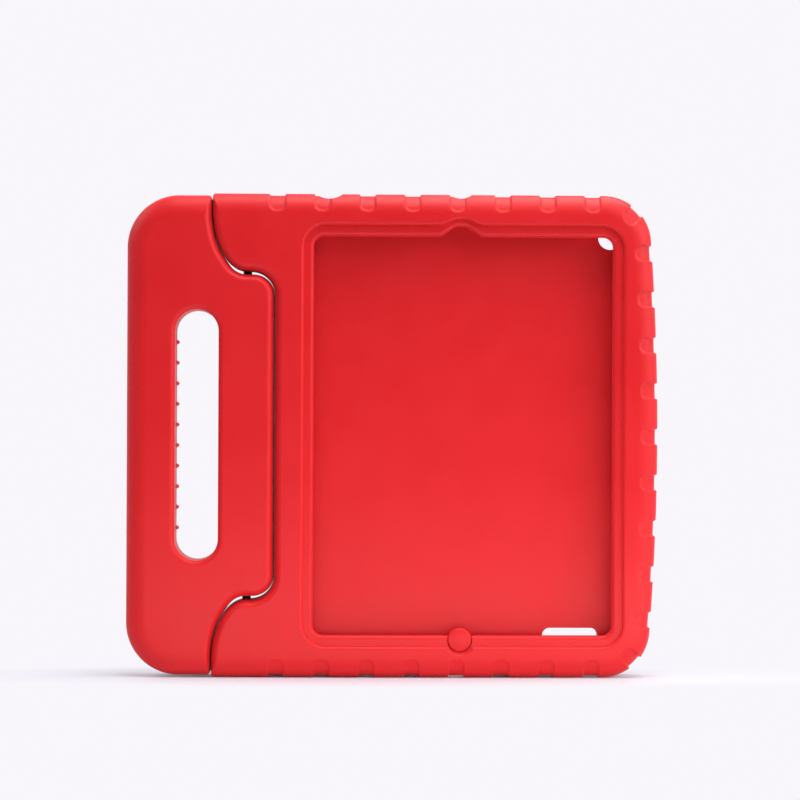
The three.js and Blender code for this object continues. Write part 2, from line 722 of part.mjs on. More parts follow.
// A domed disc. Its lower half has a flange that sits behind the lip.
function padSolid() {
  const front = LIP_FRONT - PAD_DOME;
  const face = PAD_RADIUS - PAD_EDGE_ROUND;
  const rounding = quarterRound(PAD_EDGE_ROUND).map(({ depth, inset }) => [
    PAD_RADIUS - inset,
    LIP_FRONT + depth,
  ]);
  const disc = [[0, front], [face / 2, front + PAD_DOME / 4], ...rounding, [PAD_RADIUS, PAD_BACK]];
  const flange = plug(
    "y",
    PAD_FLANGE_FRONT,
    PAD_BACK,
    PAD_RADIUS + PAD_FLANGE_WIDTH,
    FITTINGS_SHIFT,
    0,
    PAD_Z,
  );
  const upperHalf = solidOf(
    new THREE.BoxGeometry(CORNER_RADIUS, CASE_THICKNESS, CORNER_RADIUS).translate(
      FITTINGS_SHIFT,
      0,
      PAD_Z + CORNER_RADIUS / 2,
    ),
  );
  return turned([...disc, [0, PAD_BACK]], "y", FITTINGS_SHIFT, 0, PAD_Z).add(
    flange.subtract(upperHalf),
  );
}

const kidsTabletCase = new THREE.Group();
kidsTabletCase.name = "kids_tablet_case";
kidsTabletCase.position.set(-CENTRE_X, 0, BODY_HALF_HEIGHT);

const pin = turned(pinProfile(), "z", HINGE_X, HINGE_Y);
const bush = bushSolid();
kidsTabletCase.add(
  pieceOf("case_body", bodySolid(), RED_FOAM),
  pieceOf("handle", handleSolid(), RED_FOAM),
  pieceOf("hinge_pin_upper", pin, BLACK_NYLON),
  pieceOf("hinge_pin_lower", mirrored(pin), BLACK_NYLON),
  pieceOf("hinge_bush_upper", bush, BLACK_NYLON),
  pieceOf("hinge_bush_lower", mirrored(bush), BLACK_NYLON),
  pieceOf("home_button_pad", padSolid(), RED_FOAM),
);

export default kidsTabletCase;
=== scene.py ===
"""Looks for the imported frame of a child's foam tablet case.

The frame gives the outer sizes and the hinge. Both mouldings are lofted again as dense smooth
meshes round them, cut and joined as the solids are, and finished as moulded foam.
"""
import logging
import math
from collections.abc import Sequence
from dataclasses import dataclass, field
from enum import Enum, IntEnum

import bpy
import numpy as np
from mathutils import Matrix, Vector


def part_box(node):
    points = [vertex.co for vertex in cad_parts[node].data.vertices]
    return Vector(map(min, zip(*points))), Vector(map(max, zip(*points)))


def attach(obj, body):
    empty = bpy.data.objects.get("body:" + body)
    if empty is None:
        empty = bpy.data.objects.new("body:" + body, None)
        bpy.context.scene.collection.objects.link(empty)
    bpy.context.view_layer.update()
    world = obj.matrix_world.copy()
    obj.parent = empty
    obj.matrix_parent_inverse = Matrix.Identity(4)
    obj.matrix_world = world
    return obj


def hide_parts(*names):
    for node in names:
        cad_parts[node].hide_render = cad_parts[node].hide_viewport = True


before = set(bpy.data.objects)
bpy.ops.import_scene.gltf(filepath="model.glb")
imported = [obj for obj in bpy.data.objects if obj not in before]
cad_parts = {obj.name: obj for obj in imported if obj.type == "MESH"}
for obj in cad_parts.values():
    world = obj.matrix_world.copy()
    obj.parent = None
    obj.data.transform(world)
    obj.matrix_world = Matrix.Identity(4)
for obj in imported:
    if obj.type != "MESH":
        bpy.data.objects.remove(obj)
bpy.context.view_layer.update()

LOG = logging.getLogger("tablet_case")
MM = 0.001
OVERSHOOT = 2 * MM
TURN_STEPS = 96
ROUND_STEPS = 10
SMOOTH_ANGLE = math.radians(38)
ALMOST_ROUND = 0.999
FAR_AWAY = 1.0


class Slot(Enum):
    """Names of the record's material slots for the foam and the nylon."""

    FOAM = "red_foam"
    NYLON = "black_nylon"


class Body(Enum):
    """Bodies of the frame that the pieces ride on."""

    CASE = "case"
    HANDLE = "handle"
    BUTTON = "button"


class Cut(Enum):
    """Ways to combine two closed meshes."""

    KEEP = "INTERSECT"
    TAKE = "DIFFERENCE"
    JOIN = "UNION"


class Axis(Enum):
    """Axes that a turned or slotted shape can lie along."""

    X = "x"
    Y = "y"
    Z = "z"


class ColourMix(IntEnum):
    """Sockets of a mix of two colours."""

    FACTOR = 0
    FIRST = 6
    SECOND = 7
    RESULT = 2


@dataclass(frozen=True)
class Corner:
    """A corner of an outline in the front view, with one radius or two.

    A right-angled corner can be part of an ellipse: `along` is then its reach on the side that
    arrives, and `across` its reach on the side that leaves.
    """

    x: float
    z: float
    along: float = 0.0
    across: float | None = None


@dataclass(frozen=True)
class Ring:
    """A closed outline in the front view, anticlockwise, with the way out from each point."""

    points: np.ndarray
    normals: np.ndarray

    def grown(self, amount: float) -> np.ndarray:
        """Points of the outline moved outwards by an amount."""
        return self.points + self.normals * amount

    def divided(self, spacing: float) -> "Ring":
        """Adds points along the straight stretches.

        Args:
            spacing: Longest stretch to leave between two points.

        Returns:
            The same outline with more points.
        """
        points, normals = [], []
        for i, start in enumerate(self.points):
            end = self.points[(i + 1) % len(self.points)]
            way = end - start
            length = float(np.hypot(*way))
            points.append(start)
            normals.append(self.normals[i])
            side = np.array([way[1], -way[0]]) / length
            steps = math.ceil(length / spacing)
            for k in range(1, steps):
                points.append(start + way * k / steps)
                normals.append(side)
        return Ring(np.array(points), np.array(normals))


@dataclass(frozen=True)
class Layer:
    """One copy of an outline in a loft: its depth, and how far it is grown."""

    y: float
    grow: float = 0.0


def rounded_outline(corners: Sequence[Corner], chord: float = 0.006 * MM) -> Ring:
    """Rounds the corners of an outline.

    Args:
        corners: Corners in anticlockwise order.
        chord: Furthest that a facet may stand off its curve.

    Returns:
        The rounded outline.
    """
    places = [np.array([c.x, c.z]) for c in corners]
    points, normals = [], []
    for i, corner in enumerate(corners):
        here = places[i]
        arriving = here - places[i - 1]
        arriving = arriving / np.hypot(*arriving)
        leaving = places[(i + 1) % len(corners)] - here
        leaving = leaving / np.hypot(*leaving)
        cross = arriving[0] * leaving[1] - arriving[1] * leaving[0]
        turn = math.atan2(cross, float(arriving @ leaving))
        out = np.array([arriving[1], -arriving[0]])
        if corner.along == 0:
            lean = out + np.array([leaving[1], -leaving[0]])
            points.append(here)
            normals.append(lean / (1 + math.cos(turn)))
            continue
        along = corner.along
        across = along if corner.across is None else corner.across
        side = math.copysign(1, turn)
        centre = here - arriving * along * math.tan(abs(turn) / 2) - out * side * across
        step = 2 * math.acos(1 - chord / max(along, across))
        steps = max(4, math.ceil(abs(turn) / step))
        for k in range(steps + 1):
            angle = abs(turn) * k / steps
            point = centre + out * side * across * math.cos(angle)
            point = point + arriving * along * math.sin(angle)
            normal = out * math.cos(angle) / across + arriving * side * math.sin(angle) / along
            if points and np.hypot(*(point - points[-1])) < chord / 10:
                continue
            points.append(point)
            normals.append(normal / np.hypot(*normal))
    if np.hypot(*(points[0] - points[-1])) < chord / 10:
        points.pop()
        normals.pop()
    return Ring(np.array(points), np.array(normals))


def rectangle(x: float, z: float, half_width: float, half_height: float, radius: float) -> Ring:
    """Draws a rectangle with round corners.

    Args:
        x: Centre, to the right.
        z: Centre, upwards.
        half_width: Half its width.
        half_height: Half its height.
        radius: Radius of its corners.

    Returns:
        The outline.
    """
    return rounded_outline(
        [
            Corner(x - half_width, z - half_height, radius),
            Corner(x + half_width, z - half_height, radius),
            Corner(x + half_width, z + half_height, radius),
            Corner(x - half_width, z + half_height, radius),
        ]
    )


def quarter_round(
    depth: float, inset: float, steps: int = ROUND_STEPS
) -> list[tuple[float, float]]:
    """Steps of a quarter round from a face to a side.

    Args:
        depth: How deep the round reaches.
        inset: How far in from the side it starts.
        steps: Number of facets.

    Returns:
        Pairs of depth and inset.
    """
    angles = [math.pi / 2 * k / steps for k in range(steps + 1)]
    return [(depth * (1 - math.cos(a)), inset * (1 - math.sin(a))) for a in angles]


def rounded_block(
    front: float,
    back: float,
    front_round: Sequence[tuple[float, float]],
    back_round: Sequence[tuple[float, float]],
    side_steps: int = 1,
) -> list[Layer]:
    """Layers of a block whose front and back edges are rounded.

    Args:
        front: Depth of the front face.
        back: Depth of the back face.
        front_round: Steps of the front edge's round.
        back_round: Steps of the back edge's round.
        side_steps: Number of strips on the straight side.

    Returns:
        Layers from the front to the back.
    """
    first = [Layer(front + depth, -inset) for depth, inset in front_round]
    last = [Layer(back - depth, -inset) for depth, inset in reversed(back_round)]
    start, end = first[-1].y, last[0].y
    strips = [Layer(start + (end - start) * k / side_steps) for k in range(1, side_steps)]
    return first + strips + last


def rounded_entry(face: float, to: float, radius: float) -> list[Layer]:
    """Layers of a cutter that enters at a face and leaves its edge rounded.

    Args:
        face: Depth of the face that it enters.
        to: Depth that it reaches.
        radius: Radius of the edge that it leaves.

    Returns:
        Layers from the front to the back.
    """
    way = math.copysign(1, to - face)
    layers = [Layer(face - way * OVERSHOOT, radius)]
    layers += [Layer(face + way * depth, inset) for depth, inset in quarter_round(radius, radius)]
    layers.append(Layer(to))
    return layers if way > 0 else layers[::-1]


def straight(start: float, end: float) -> list[Layer]:
    """Layers of a block with plain edges."""
    return [Layer(start), Layer(end)]


def new_object(name: str, vertices: np.ndarray, faces: list[Sequence[int]]) -> bpy.types.Object:
    """Makes an object from vertices and faces.

    Args:
        name: Name of the object.
        vertices: Places of the vertices.
        faces: Vertex numbers of each face.

    Returns:
        The object, linked to the scene.
    """
    mesh = bpy.data.meshes.new(name)
    mesh.from_pydata(vertices.tolist(), [], faces)
    mesh.update()
    result = bpy.data.objects.new(name, mesh)
    bpy.context.scene.collection.objects.link(result)
    return result


def loft(name: str, ring: Ring, layers: Sequence[Layer]) -> bpy.types.Object:
    """Sets copies of an outline behind each other and closes the ends.

    Args:
        name: Name of the object.
        ring: The outline.
        layers: Its copies from the front to the back.

    Returns:
        A closed mesh.
    """
    count = len(ring.points)
    blocks = []
    for layer in layers:
        plan = ring.grown(layer.grow)
        depth = np.full(count, layer.y)
        blocks.append(np.column_stack([plan[:, 0], depth, plan[:, 1]]))
    faces: list[Sequence[int]] = []
    for k in range(len(layers) - 1):
        front, back = k * count, (k + 1) * count
        for i in range(count):
            j = (i + 1) % count
            faces.append((front + i, back + i, back + j, front + j))
    faces.append(tuple(range(count)))
    last = (len(layers) - 1) * count
    faces.append(tuple(range(last + count - 1, last - 1, -1)))
    return new_object(name, np.vstack(blocks), faces)


def turned(
    name: str,
    profile: Sequence[tuple[float, float]],
    axis: Axis,
    centre: tuple[float, float, float] = (0.0, 0.0, 0.0),
    steps: int = TURN_STEPS,
) -> bpy.types.Object:
    """Turns a half profile that starts and ends on its axis.

    Args:
        name: Name of the object.
        profile: Pairs of radius and height, upwards.
        axis: Axis of the turn, Y or Z.
        centre: Place of the profile's origin.
        steps: Number of sides.

    Returns:
        A closed mesh.
    """
    rows = []
    starts = []
    total = 0
    for radius, height in profile:
        turns = 1 if radius == 0 else steps
        angles = np.arange(turns) * 2 * math.pi / steps
        a, b = radius * np.cos(angles), radius * np.sin(angles)
        h = np.full(turns, height)
        rows.append(np.column_stack([a, b, h] if axis is Axis.Z else [b, h, a]))
        starts.append(total)
        total += turns
    faces: list[Sequence[int]] = []
    for k in range(len(profile) - 1):
        low, high = starts[k], starts[k + 1]
        for i in range(steps):
            j = (i + 1) % steps
            if profile[k][0] == 0:
                faces.append((low, high + j, high + i))
            elif profile[k + 1][0] == 0:
                faces.append((high, low + i, low + j))
            else:
                faces.append((low + i, low + j, high + j, high + i))
    return new_object(name, np.vstack(rows) + np.array(centre), faces)


def plug(
    axis: Axis,
    start: float,
    end: float,
    radius: float,
    centre: tuple[float, float, float],
    end_radius: float | None = None,
) -> bpy.types.Object:
    """Makes a round or tapered cutter.

    Args:
        axis: Axis that it lies along.
        start: Where it starts on that axis.
        end: Where it ends.
        radius: Radius at the start.
        centre: Place of its axis.
        end_radius: Radius at the end, if another.

    Returns:
        A closed mesh.
    """
    last = radius if end_radius is None else end_radius
    return turned("plug", [(0, start), (radius, start), (last, end), (0, end)], axis, centre)


def bake_modifiers(target: bpy.types.Object) -> None:
    """Turns an object's modifiers into its plain mesh.

    Args:
        target: Object to change.
    """
    graph = bpy.context.evaluated_depsgraph_get()
    mesh = bpy.data.meshes.new_from_object(target.evaluated_get(graph), depsgraph=graph)
    old = target.data
    target.modifiers.clear()
    target.data = mesh
    bpy.data.meshes.remove(old)


def combine(target: bpy.types.Object, tool: bpy.types.Object, how: Cut) -> None:
    """Cuts or joins a closed mesh with another, and removes the other.

    Args:
        target: Mesh that is changed.
        tool: Mesh that it is combined with.
        how: Way to combine them.
    """
    modifier = target.modifiers.new("combine", "BOOLEAN")
    modifier.solver = "MANIFOLD"
    modifier.operation = how.value
    modifier.object = tool
    bake_modifiers(target)
    bpy.data.objects.remove(tool)


def finish_shading(target: bpy.types.Object, material: bpy.types.Material) -> None:
    """Smooths a mesh's shading up to its sharp edges, and gives it its one material.

    Args:
        target: Piece to shade.
        material: Its material.
    """
    mesh = target.data
    mesh.materials.clear()
    mesh.materials.append(material)
    mesh.shade_smooth()
    mesh.set_sharp_from_angle(angle=SMOOTH_ANGLE)
    modifier = target.modifiers.new("even_normals", "WEIGHTED_NORMAL")
    modifier.keep_sharp = True
    bake_modifiers(target)


@dataclass(frozen=True)
class Layout:
    """Places that the mouldings share, from the frame and the tablet's size.

    X and Z of the outlines are measured from the tablet's middle.
    """

    tablet_width: float = 185.7 * MM
    tablet_height: float = 241.2 * MM
    tablet_fit: float = 0.4 * MM
    side_wall: float = 11.5 * MM
    fittings_shift: float = -1.5 * MM
    front_round: tuple[float, float] = (8 * MM, 11.3 * MM)
    front_steps: int = 24
    back_round: tuple[float, float] = (7 * MM, 8 * MM)
    back_steps: int = 18
    band_rings: int = 3
    corner_radius: float = 26 * MM
    handle_corner: float = 28 * MM
    seam_round: float = 4 * MM
    seam_round_depth: float = 6.5 * MM
    seam_back_inset: float = 3.5 * MM
    seam_swell: float = 0.296 * MM
    swell_steps: int = 10
    mouth_round: float = 2 * MM
    spare: float = 18 * MM
    low: Vector = field(default_factory=lambda: Vector(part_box("case_body")[0]))
    high: Vector = field(default_factory=lambda: Vector(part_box("case_body")[1]))
    handle_low: Vector = field(default_factory=lambda: Vector(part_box("handle")[0]))
    handle_high: Vector = field(default_factory=lambda: Vector(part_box("handle")[1]))
    pin_low: Vector = field(default_factory=lambda: Vector(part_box("hinge_pin_upper")[0]))
    pin_high: Vector = field(default_factory=lambda: Vector(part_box("hinge_pin_upper")[1]))

    @property
    def middle_x(self) -> float:
        """Place of the tablet's middle in the frame."""
        return self.high.x - self.side_wall - self.pocket_half_width

    @property
    def middle_z(self) -> float:
        """Height of the tablet's middle in the frame."""
        return (self.low.z + self.high.z) / 2

    @property
    def front(self) -> float:
        """Depth of the front face."""
        return self.low.y

    @property
    def back(self) -> float:
        """Depth of the back face."""
        return self.high.y

    @property
    def pocket_half_width(self) -> float:
        """Half the width of the tablet's bay."""
        return self.tablet_width / 2 + self.tablet_fit

    @property
    def pocket_half_height(self) -> float:
        """Half the height of the tablet's bay."""
        return self.tablet_height / 2 + self.tablet_fit

    @property
    def half_height(self) -> float:
        """Half the height of the body."""
        return (self.high.z - self.low.z) / 2

    @property
    def handle_half_height(self) -> float:
        """Half the height of the handle."""
        return (self.handle_high.z - self.handle_low.z) / 2

    @property
    def hinge_x(self) -> float:
        """Place of the hinge axis, from the tablet's middle."""
        return (self.pin_low.x + self.pin_high.x) / 2 - self.middle_x

    @property
    def hinge_y(self) -> float:
        """Depth of the hinge axis."""
        return (self.pin_low.y + self.pin_high.y) / 2

    @property
    def tab_x(self) -> float:
        """Inner edge of the handle's tab, from the tablet's middle."""
        return self.handle_high.x - self.middle_x

    @property
    def ear_x(self) -> float:
        """Outer edge of the ears, from the tablet's middle."""
        return self.low.x - self.middle_x

    @property
    def handle_x(self) -> float:
        """Outer edge of the handle, from the tablet's middle."""
        return self.handle_low.x - self.middle_x

    def outer_layers(self, side_steps: int, flat_band: float = 0.0) -> list[Layer]:
        """Layers of the outer block that both mouldings are cut from.

        Args:
            side_steps: Number of strips on the straight side.
            flat_band: Width of a strip of each flat face to keep as rings of its own.

        Returns:
            Layers from the front to the back.
        """
        layers = rounded_block(
            self.front,
            self.back,
            quarter_round(*self.front_round, steps=self.front_steps),
            quarter_round(*self.back_round, steps=self.back_steps),
            side_steps,
        )
        if flat_band == 0:
            return layers
        insets = [flat_band * k / self.band_rings for k in range(1, self.band_rings + 1)]
        first = [Layer(self.front, layers[0].grow - inset) for inset in reversed(insets)]
        last = [Layer(self.back, layers[-1].grow - inset) for inset in insets]
        return first + layers + last

    def seam_layers(self) -> list[Layer]:
        """Layers of the blocks that keep one side of the seam.

        Returns:
            Layers from the front to the back. Their walls swell in the middle and almost meet.
        """
        first = quarter_round(self.seam_round_depth, self.seam_round)
        last = quarter_round(self.back - self.hinge_y, self.seam_back_inset)
        layers = rounded_block(self.front, self.back, first, last)
        start, end = layers[len(first) - 1].y, layers[len(first)].y
        swell = [
            Layer(start + (end - start) * t, self.seam_swell * math.sin(math.pi * t) ** 2)
            for t in np.linspace(0, 1, self.swell_steps + 1)[1:-1]
        ]
        return layers[: len(first)] + swell + layers[len(first) :]

    def place(self, target: bpy.types.Object) -> None:
        """Moves a mesh drawn from the tablet's middle to its place in the frame.

        Args:
            target: Mesh to move.
        """
        for vertex in target.data.vertices:
            vertex.co.x += self.middle_x
            vertex.co.z += self.middle_z
        target.data.update()

    def through(self) -> list[Layer]:
        """Layers of a cutter that runs past both faces."""
        return straight(self.front - OVERSHOOT, self.back + OVERSHOOT)

    def mouth_corner(self, x: float, z: float, facing: float) -> bpy.types.Object:
        """Makes the cutter that rounds an upper or lower corner at the seam's mouth.

        Args:
            x: Place of the corner.
            z: Height of the corner, below zero for a lower one.
            facing: 1 where the corner faces right, -1 where it faces left.

        Returns:
            A closed mesh.
        """
        up = math.copysign(1, z)
        radius = self.mouth_round
        angles = np.linspace(0, math.pi / 2, ROUND_STEPS + 1)
        arc_x = x - facing * radius + facing * radius * np.cos(angles)
        arc_z = z - up * radius + up * radius * np.sin(angles)
        past_x = x + facing * OVERSHOOT
        past_z = z + up * OVERSHOOT
        box = [(x - facing * radius, past_z), (past_x, past_z), (past_x, z - up * radius)]
        points = np.array(list(zip(arc_x, arc_z)) + box)
        if facing * up > 0:
            points = points[::-1]
        return loft("mouth_corner", Ring(points, np.zeros_like(points)), self.through())


class NodeTree:
    """A node tree with short ways to add and join nodes."""

    def __init__(self, tree: bpy.types.NodeTree) -> None:
        """Keeps the tree."""
        self.tree = tree

    def add(
        self,
        kind: str,
        values: dict[int | str, object] | None = None,
        **settings: object,
    ) -> bpy.types.Node:
        """Adds a node, sets its settings, and fills or links its inputs.

        Args:
            kind: Blender's name for the node type.
            values: Input name or number, with a value or an output socket.
            **settings: Properties of the node itself.

        Returns:
            The node.
        """
        node = self.tree.nodes.new(kind)
        for name, value in settings.items():
            setattr(node, name, value)
        for key, value in (values or {}).items():
            if isinstance(value, bpy.types.NodeSocket):
                self.tree.links.new(value, node.inputs[key])
            else:
                node.inputs[key].default_value = value
        return node

    def math(self, operation: str, *terms: object) -> bpy.types.NodeSocket:
        """Adds a Math node and returns its result."""
        return self.add("ShaderNodeMath", dict(enumerate(terms)), operation=operation).outputs[0]

    def blend(
        self, first: bpy.types.NodeSocket, second: bpy.types.NodeSocket, share: float
    ) -> bpy.types.NodeSocket:
        """Adds two values up by their shares.

        Args:
            first: Value that takes the rest.
            second: Value that takes the share.
            share: Share of the second value.

        Returns:
            The sum of both.
        """
        rest = self.math("MULTIPLY", first, 1.0 - share)
        return self.math("ADD", rest, self.math("MULTIPLY", second, share))

    def socket(self, name: str, kind: str, value: object = None, output: bool = False) -> None:
        """Adds a named input or output to the group.

        Args:
            name: Name of the socket.
            kind: Its type.
            value: Its default value.
            output: Whether it is an output.
        """
        way = "OUTPUT" if output else "INPUT"
        made = self.tree.interface.new_socket(name=name, in_out=way, socket_type=kind)
        if value is not None:
            made.default_value = value


def run_geometry_nodes(
    target: bpy.types.Object,
    tree: bpy.types.NodeTree,
    values: dict[str, object],
) -> None:
    """Runs a geometry tree on an object and keeps the result as its plain mesh.

    Args:
        target: Object to change.
        tree: Tree to run.
        values: Named inputs of the tree.
    """
    modifier = target.modifiers.new(tree.name, "NODES")
    modifier.node_group = tree
    for item in tree.interface.items_tree:
        if item.item_type == "SOCKET" and item.in_out == "INPUT" and item.name in values:
            modifier[item.identifier] = values[item.name]
    bake_modifiers(target)


@dataclass(frozen=True)
class FoamSkin:
    """The moulded skin that foam and nylon share: a shader group of grain and mottle."""

    name: str = "moulded_skin"
    flow_scale: float = 18.0
    flow_height: float = 1.4
    pore_share: float = 0.5
    grain_in_sheen: float = 0.4

    def group(self) -> bpy.types.NodeTree:
        """Builds the group, or takes the one that is there.

        Returns:
            A group that puts out a height, a mottle and a mask that breaks the gloss.
        """
        if self.name in bpy.data.node_groups:
            return bpy.data.node_groups[self.name]
        tree = bpy.data.node_groups.new(self.name, "ShaderNodeTree")
        nodes = NodeTree(tree)
        nodes.socket("Grain Scale", "NodeSocketFloat", 1500.0)
        nodes.socket("Pore Scale", "NodeSocketFloat", 800.0)
        nodes.socket("Mottle Scale", "NodeSocketFloat", 40.0)
        nodes.socket("Height", "NodeSocketFloat", output=True)
        nodes.socket("Mottle", "NodeSocketFloat", output=True)
        nodes.socket("Sheen Break", "NodeSocketFloat", output=True)
        given = nodes.add("NodeGroupInput")
        place = nodes.add("ShaderNodeTexCoord").outputs["Object"]
        grain = nodes.add(
            "ShaderNodeTexNoise",
            {
                "Vector": place,
                "Scale": given.outputs["Grain Scale"],
                "Detail": 3.0,
                "Roughness": 0.6,
            },
        ).outputs["Fac"]
        pores = nodes.add(
            "ShaderNodeTexVoronoi",
            {"Vector": place, "Scale": given.outputs["Pore Scale"], "Randomness": 1.0},
            feature="SMOOTH_F1",
        ).outputs["Distance"]
        mottle = nodes.add(
            "ShaderNodeTexNoise",
            {
                "Vector": place,
                "Scale": given.outputs["Mottle Scale"],
                "Detail": 4.0,
                "Roughness": 0.55,
            },
        ).outputs["Fac"]
        flow = nodes.add(
            "ShaderNodeTexNoise",
            {"Vector": place, "Scale": self.flow_scale, "Detail": 1.0, "Roughness": 0.4},
        ).outputs["Fac"]
        fine = nodes.blend(grain, pores, self.pore_share)
        height = nodes.math("ADD", fine, nodes.math("MULTIPLY", flow, self.flow_height))
        broken = nodes.blend(mottle, grain, self.grain_in_sheen)
        nodes.add(
            "NodeGroupOutput",
            {"Height": height, "Mottle": mottle, "Sheen Break": broken},
        )
        return tree


@dataclass(frozen=True)
class MouldedFinish:
    """A moulded material: a colour with soft mottle, a grained skin and a soft gloss."""

    name: str
    light: tuple[float, float, float]
    deep: tuple[float, float, float]
    roughness: tuple[float, float]
    specular: float
    bump: float
    grain_scale: float
    pore_scale: float
    mottle_scale: float
    sheen: float = 0.0
    sheen_roughness: float = 0.5
    bump_distance: float = 0.15 * MM
    noise_range: tuple[float, float] = (0.35, 0.65)

    def material(self) -> bpy.types.Material:
        """Builds the material.

        Returns:
            A material that reads object coordinates.
        """
        material = bpy.data.materials.new(self.name)
        material.use_nodes = True
        nodes = NodeTree(material.node_tree)
        shader = material.node_tree.nodes["Principled BSDF"]
        skin = nodes.add("ShaderNodeGroup", node_tree=FoamSkin().group())
        skin.inputs["Grain Scale"].default_value = self.grain_scale
        skin.inputs["Pore Scale"].default_value = self.pore_scale
        skin.inputs["Mottle Scale"].default_value = self.mottle_scale
        low, high = self.noise_range
        ramp = nodes.add(
            "ShaderNodeMapRange",
            {"Value": skin.outputs["Mottle"], "From Min": low, "From Max": high},
        )
        colour = self.mix(nodes, ramp.outputs["Result"])
        rough = nodes.add(
            "ShaderNodeMapRange",
            {
                "Value": skin.outputs["Sheen Break"],
                "From Min": low,
                "From Max": high,
                "To Min": self.roughness[0],
                "To Max": self.roughness[1],
            },
        )
        bump = nodes.add(
            "ShaderNodeBump",
            {
                "Height": skin.outputs["Height"],
                "Strength": self.bump,
                "Distance": self.bump_distance,
            },
        )
        links = material.node_tree.links
        links.new(colour, shader.inputs["Base Color"])
        links.new(rough.outputs["Result"], shader.inputs["Roughness"])
        links.new(bump.outputs["Normal"], shader.inputs["Normal"])
        shader.inputs["Specular IOR Level"].default_value = self.specular
        shader.inputs["Sheen Weight"].default_value = self.sheen
        shader.inputs["Sheen Roughness"].default_value = self.sheen_roughness
        return material

    def mix(self, nodes: NodeTree, factor: bpy.types.NodeSocket) -> bpy.types.NodeSocket:
        """Mixes the deep and the light colour by a factor.

        Args:
            nodes: Tree of the material.
            factor: Share of the light colour.

        Returns:
            The mixed colour.
        """
        node = nodes.add("ShaderNodeMix", data_type="RGBA")
        node.inputs[ColourMix.FIRST].default_value = (*self.deep, 1.0)
        node.inputs[ColourMix.SECOND].default_value = (*self.light, 1.0)
        nodes.tree.links.new(factor, node.inputs[ColourMix.FACTOR])
        return node.outputs[ColourMix.RESULT]


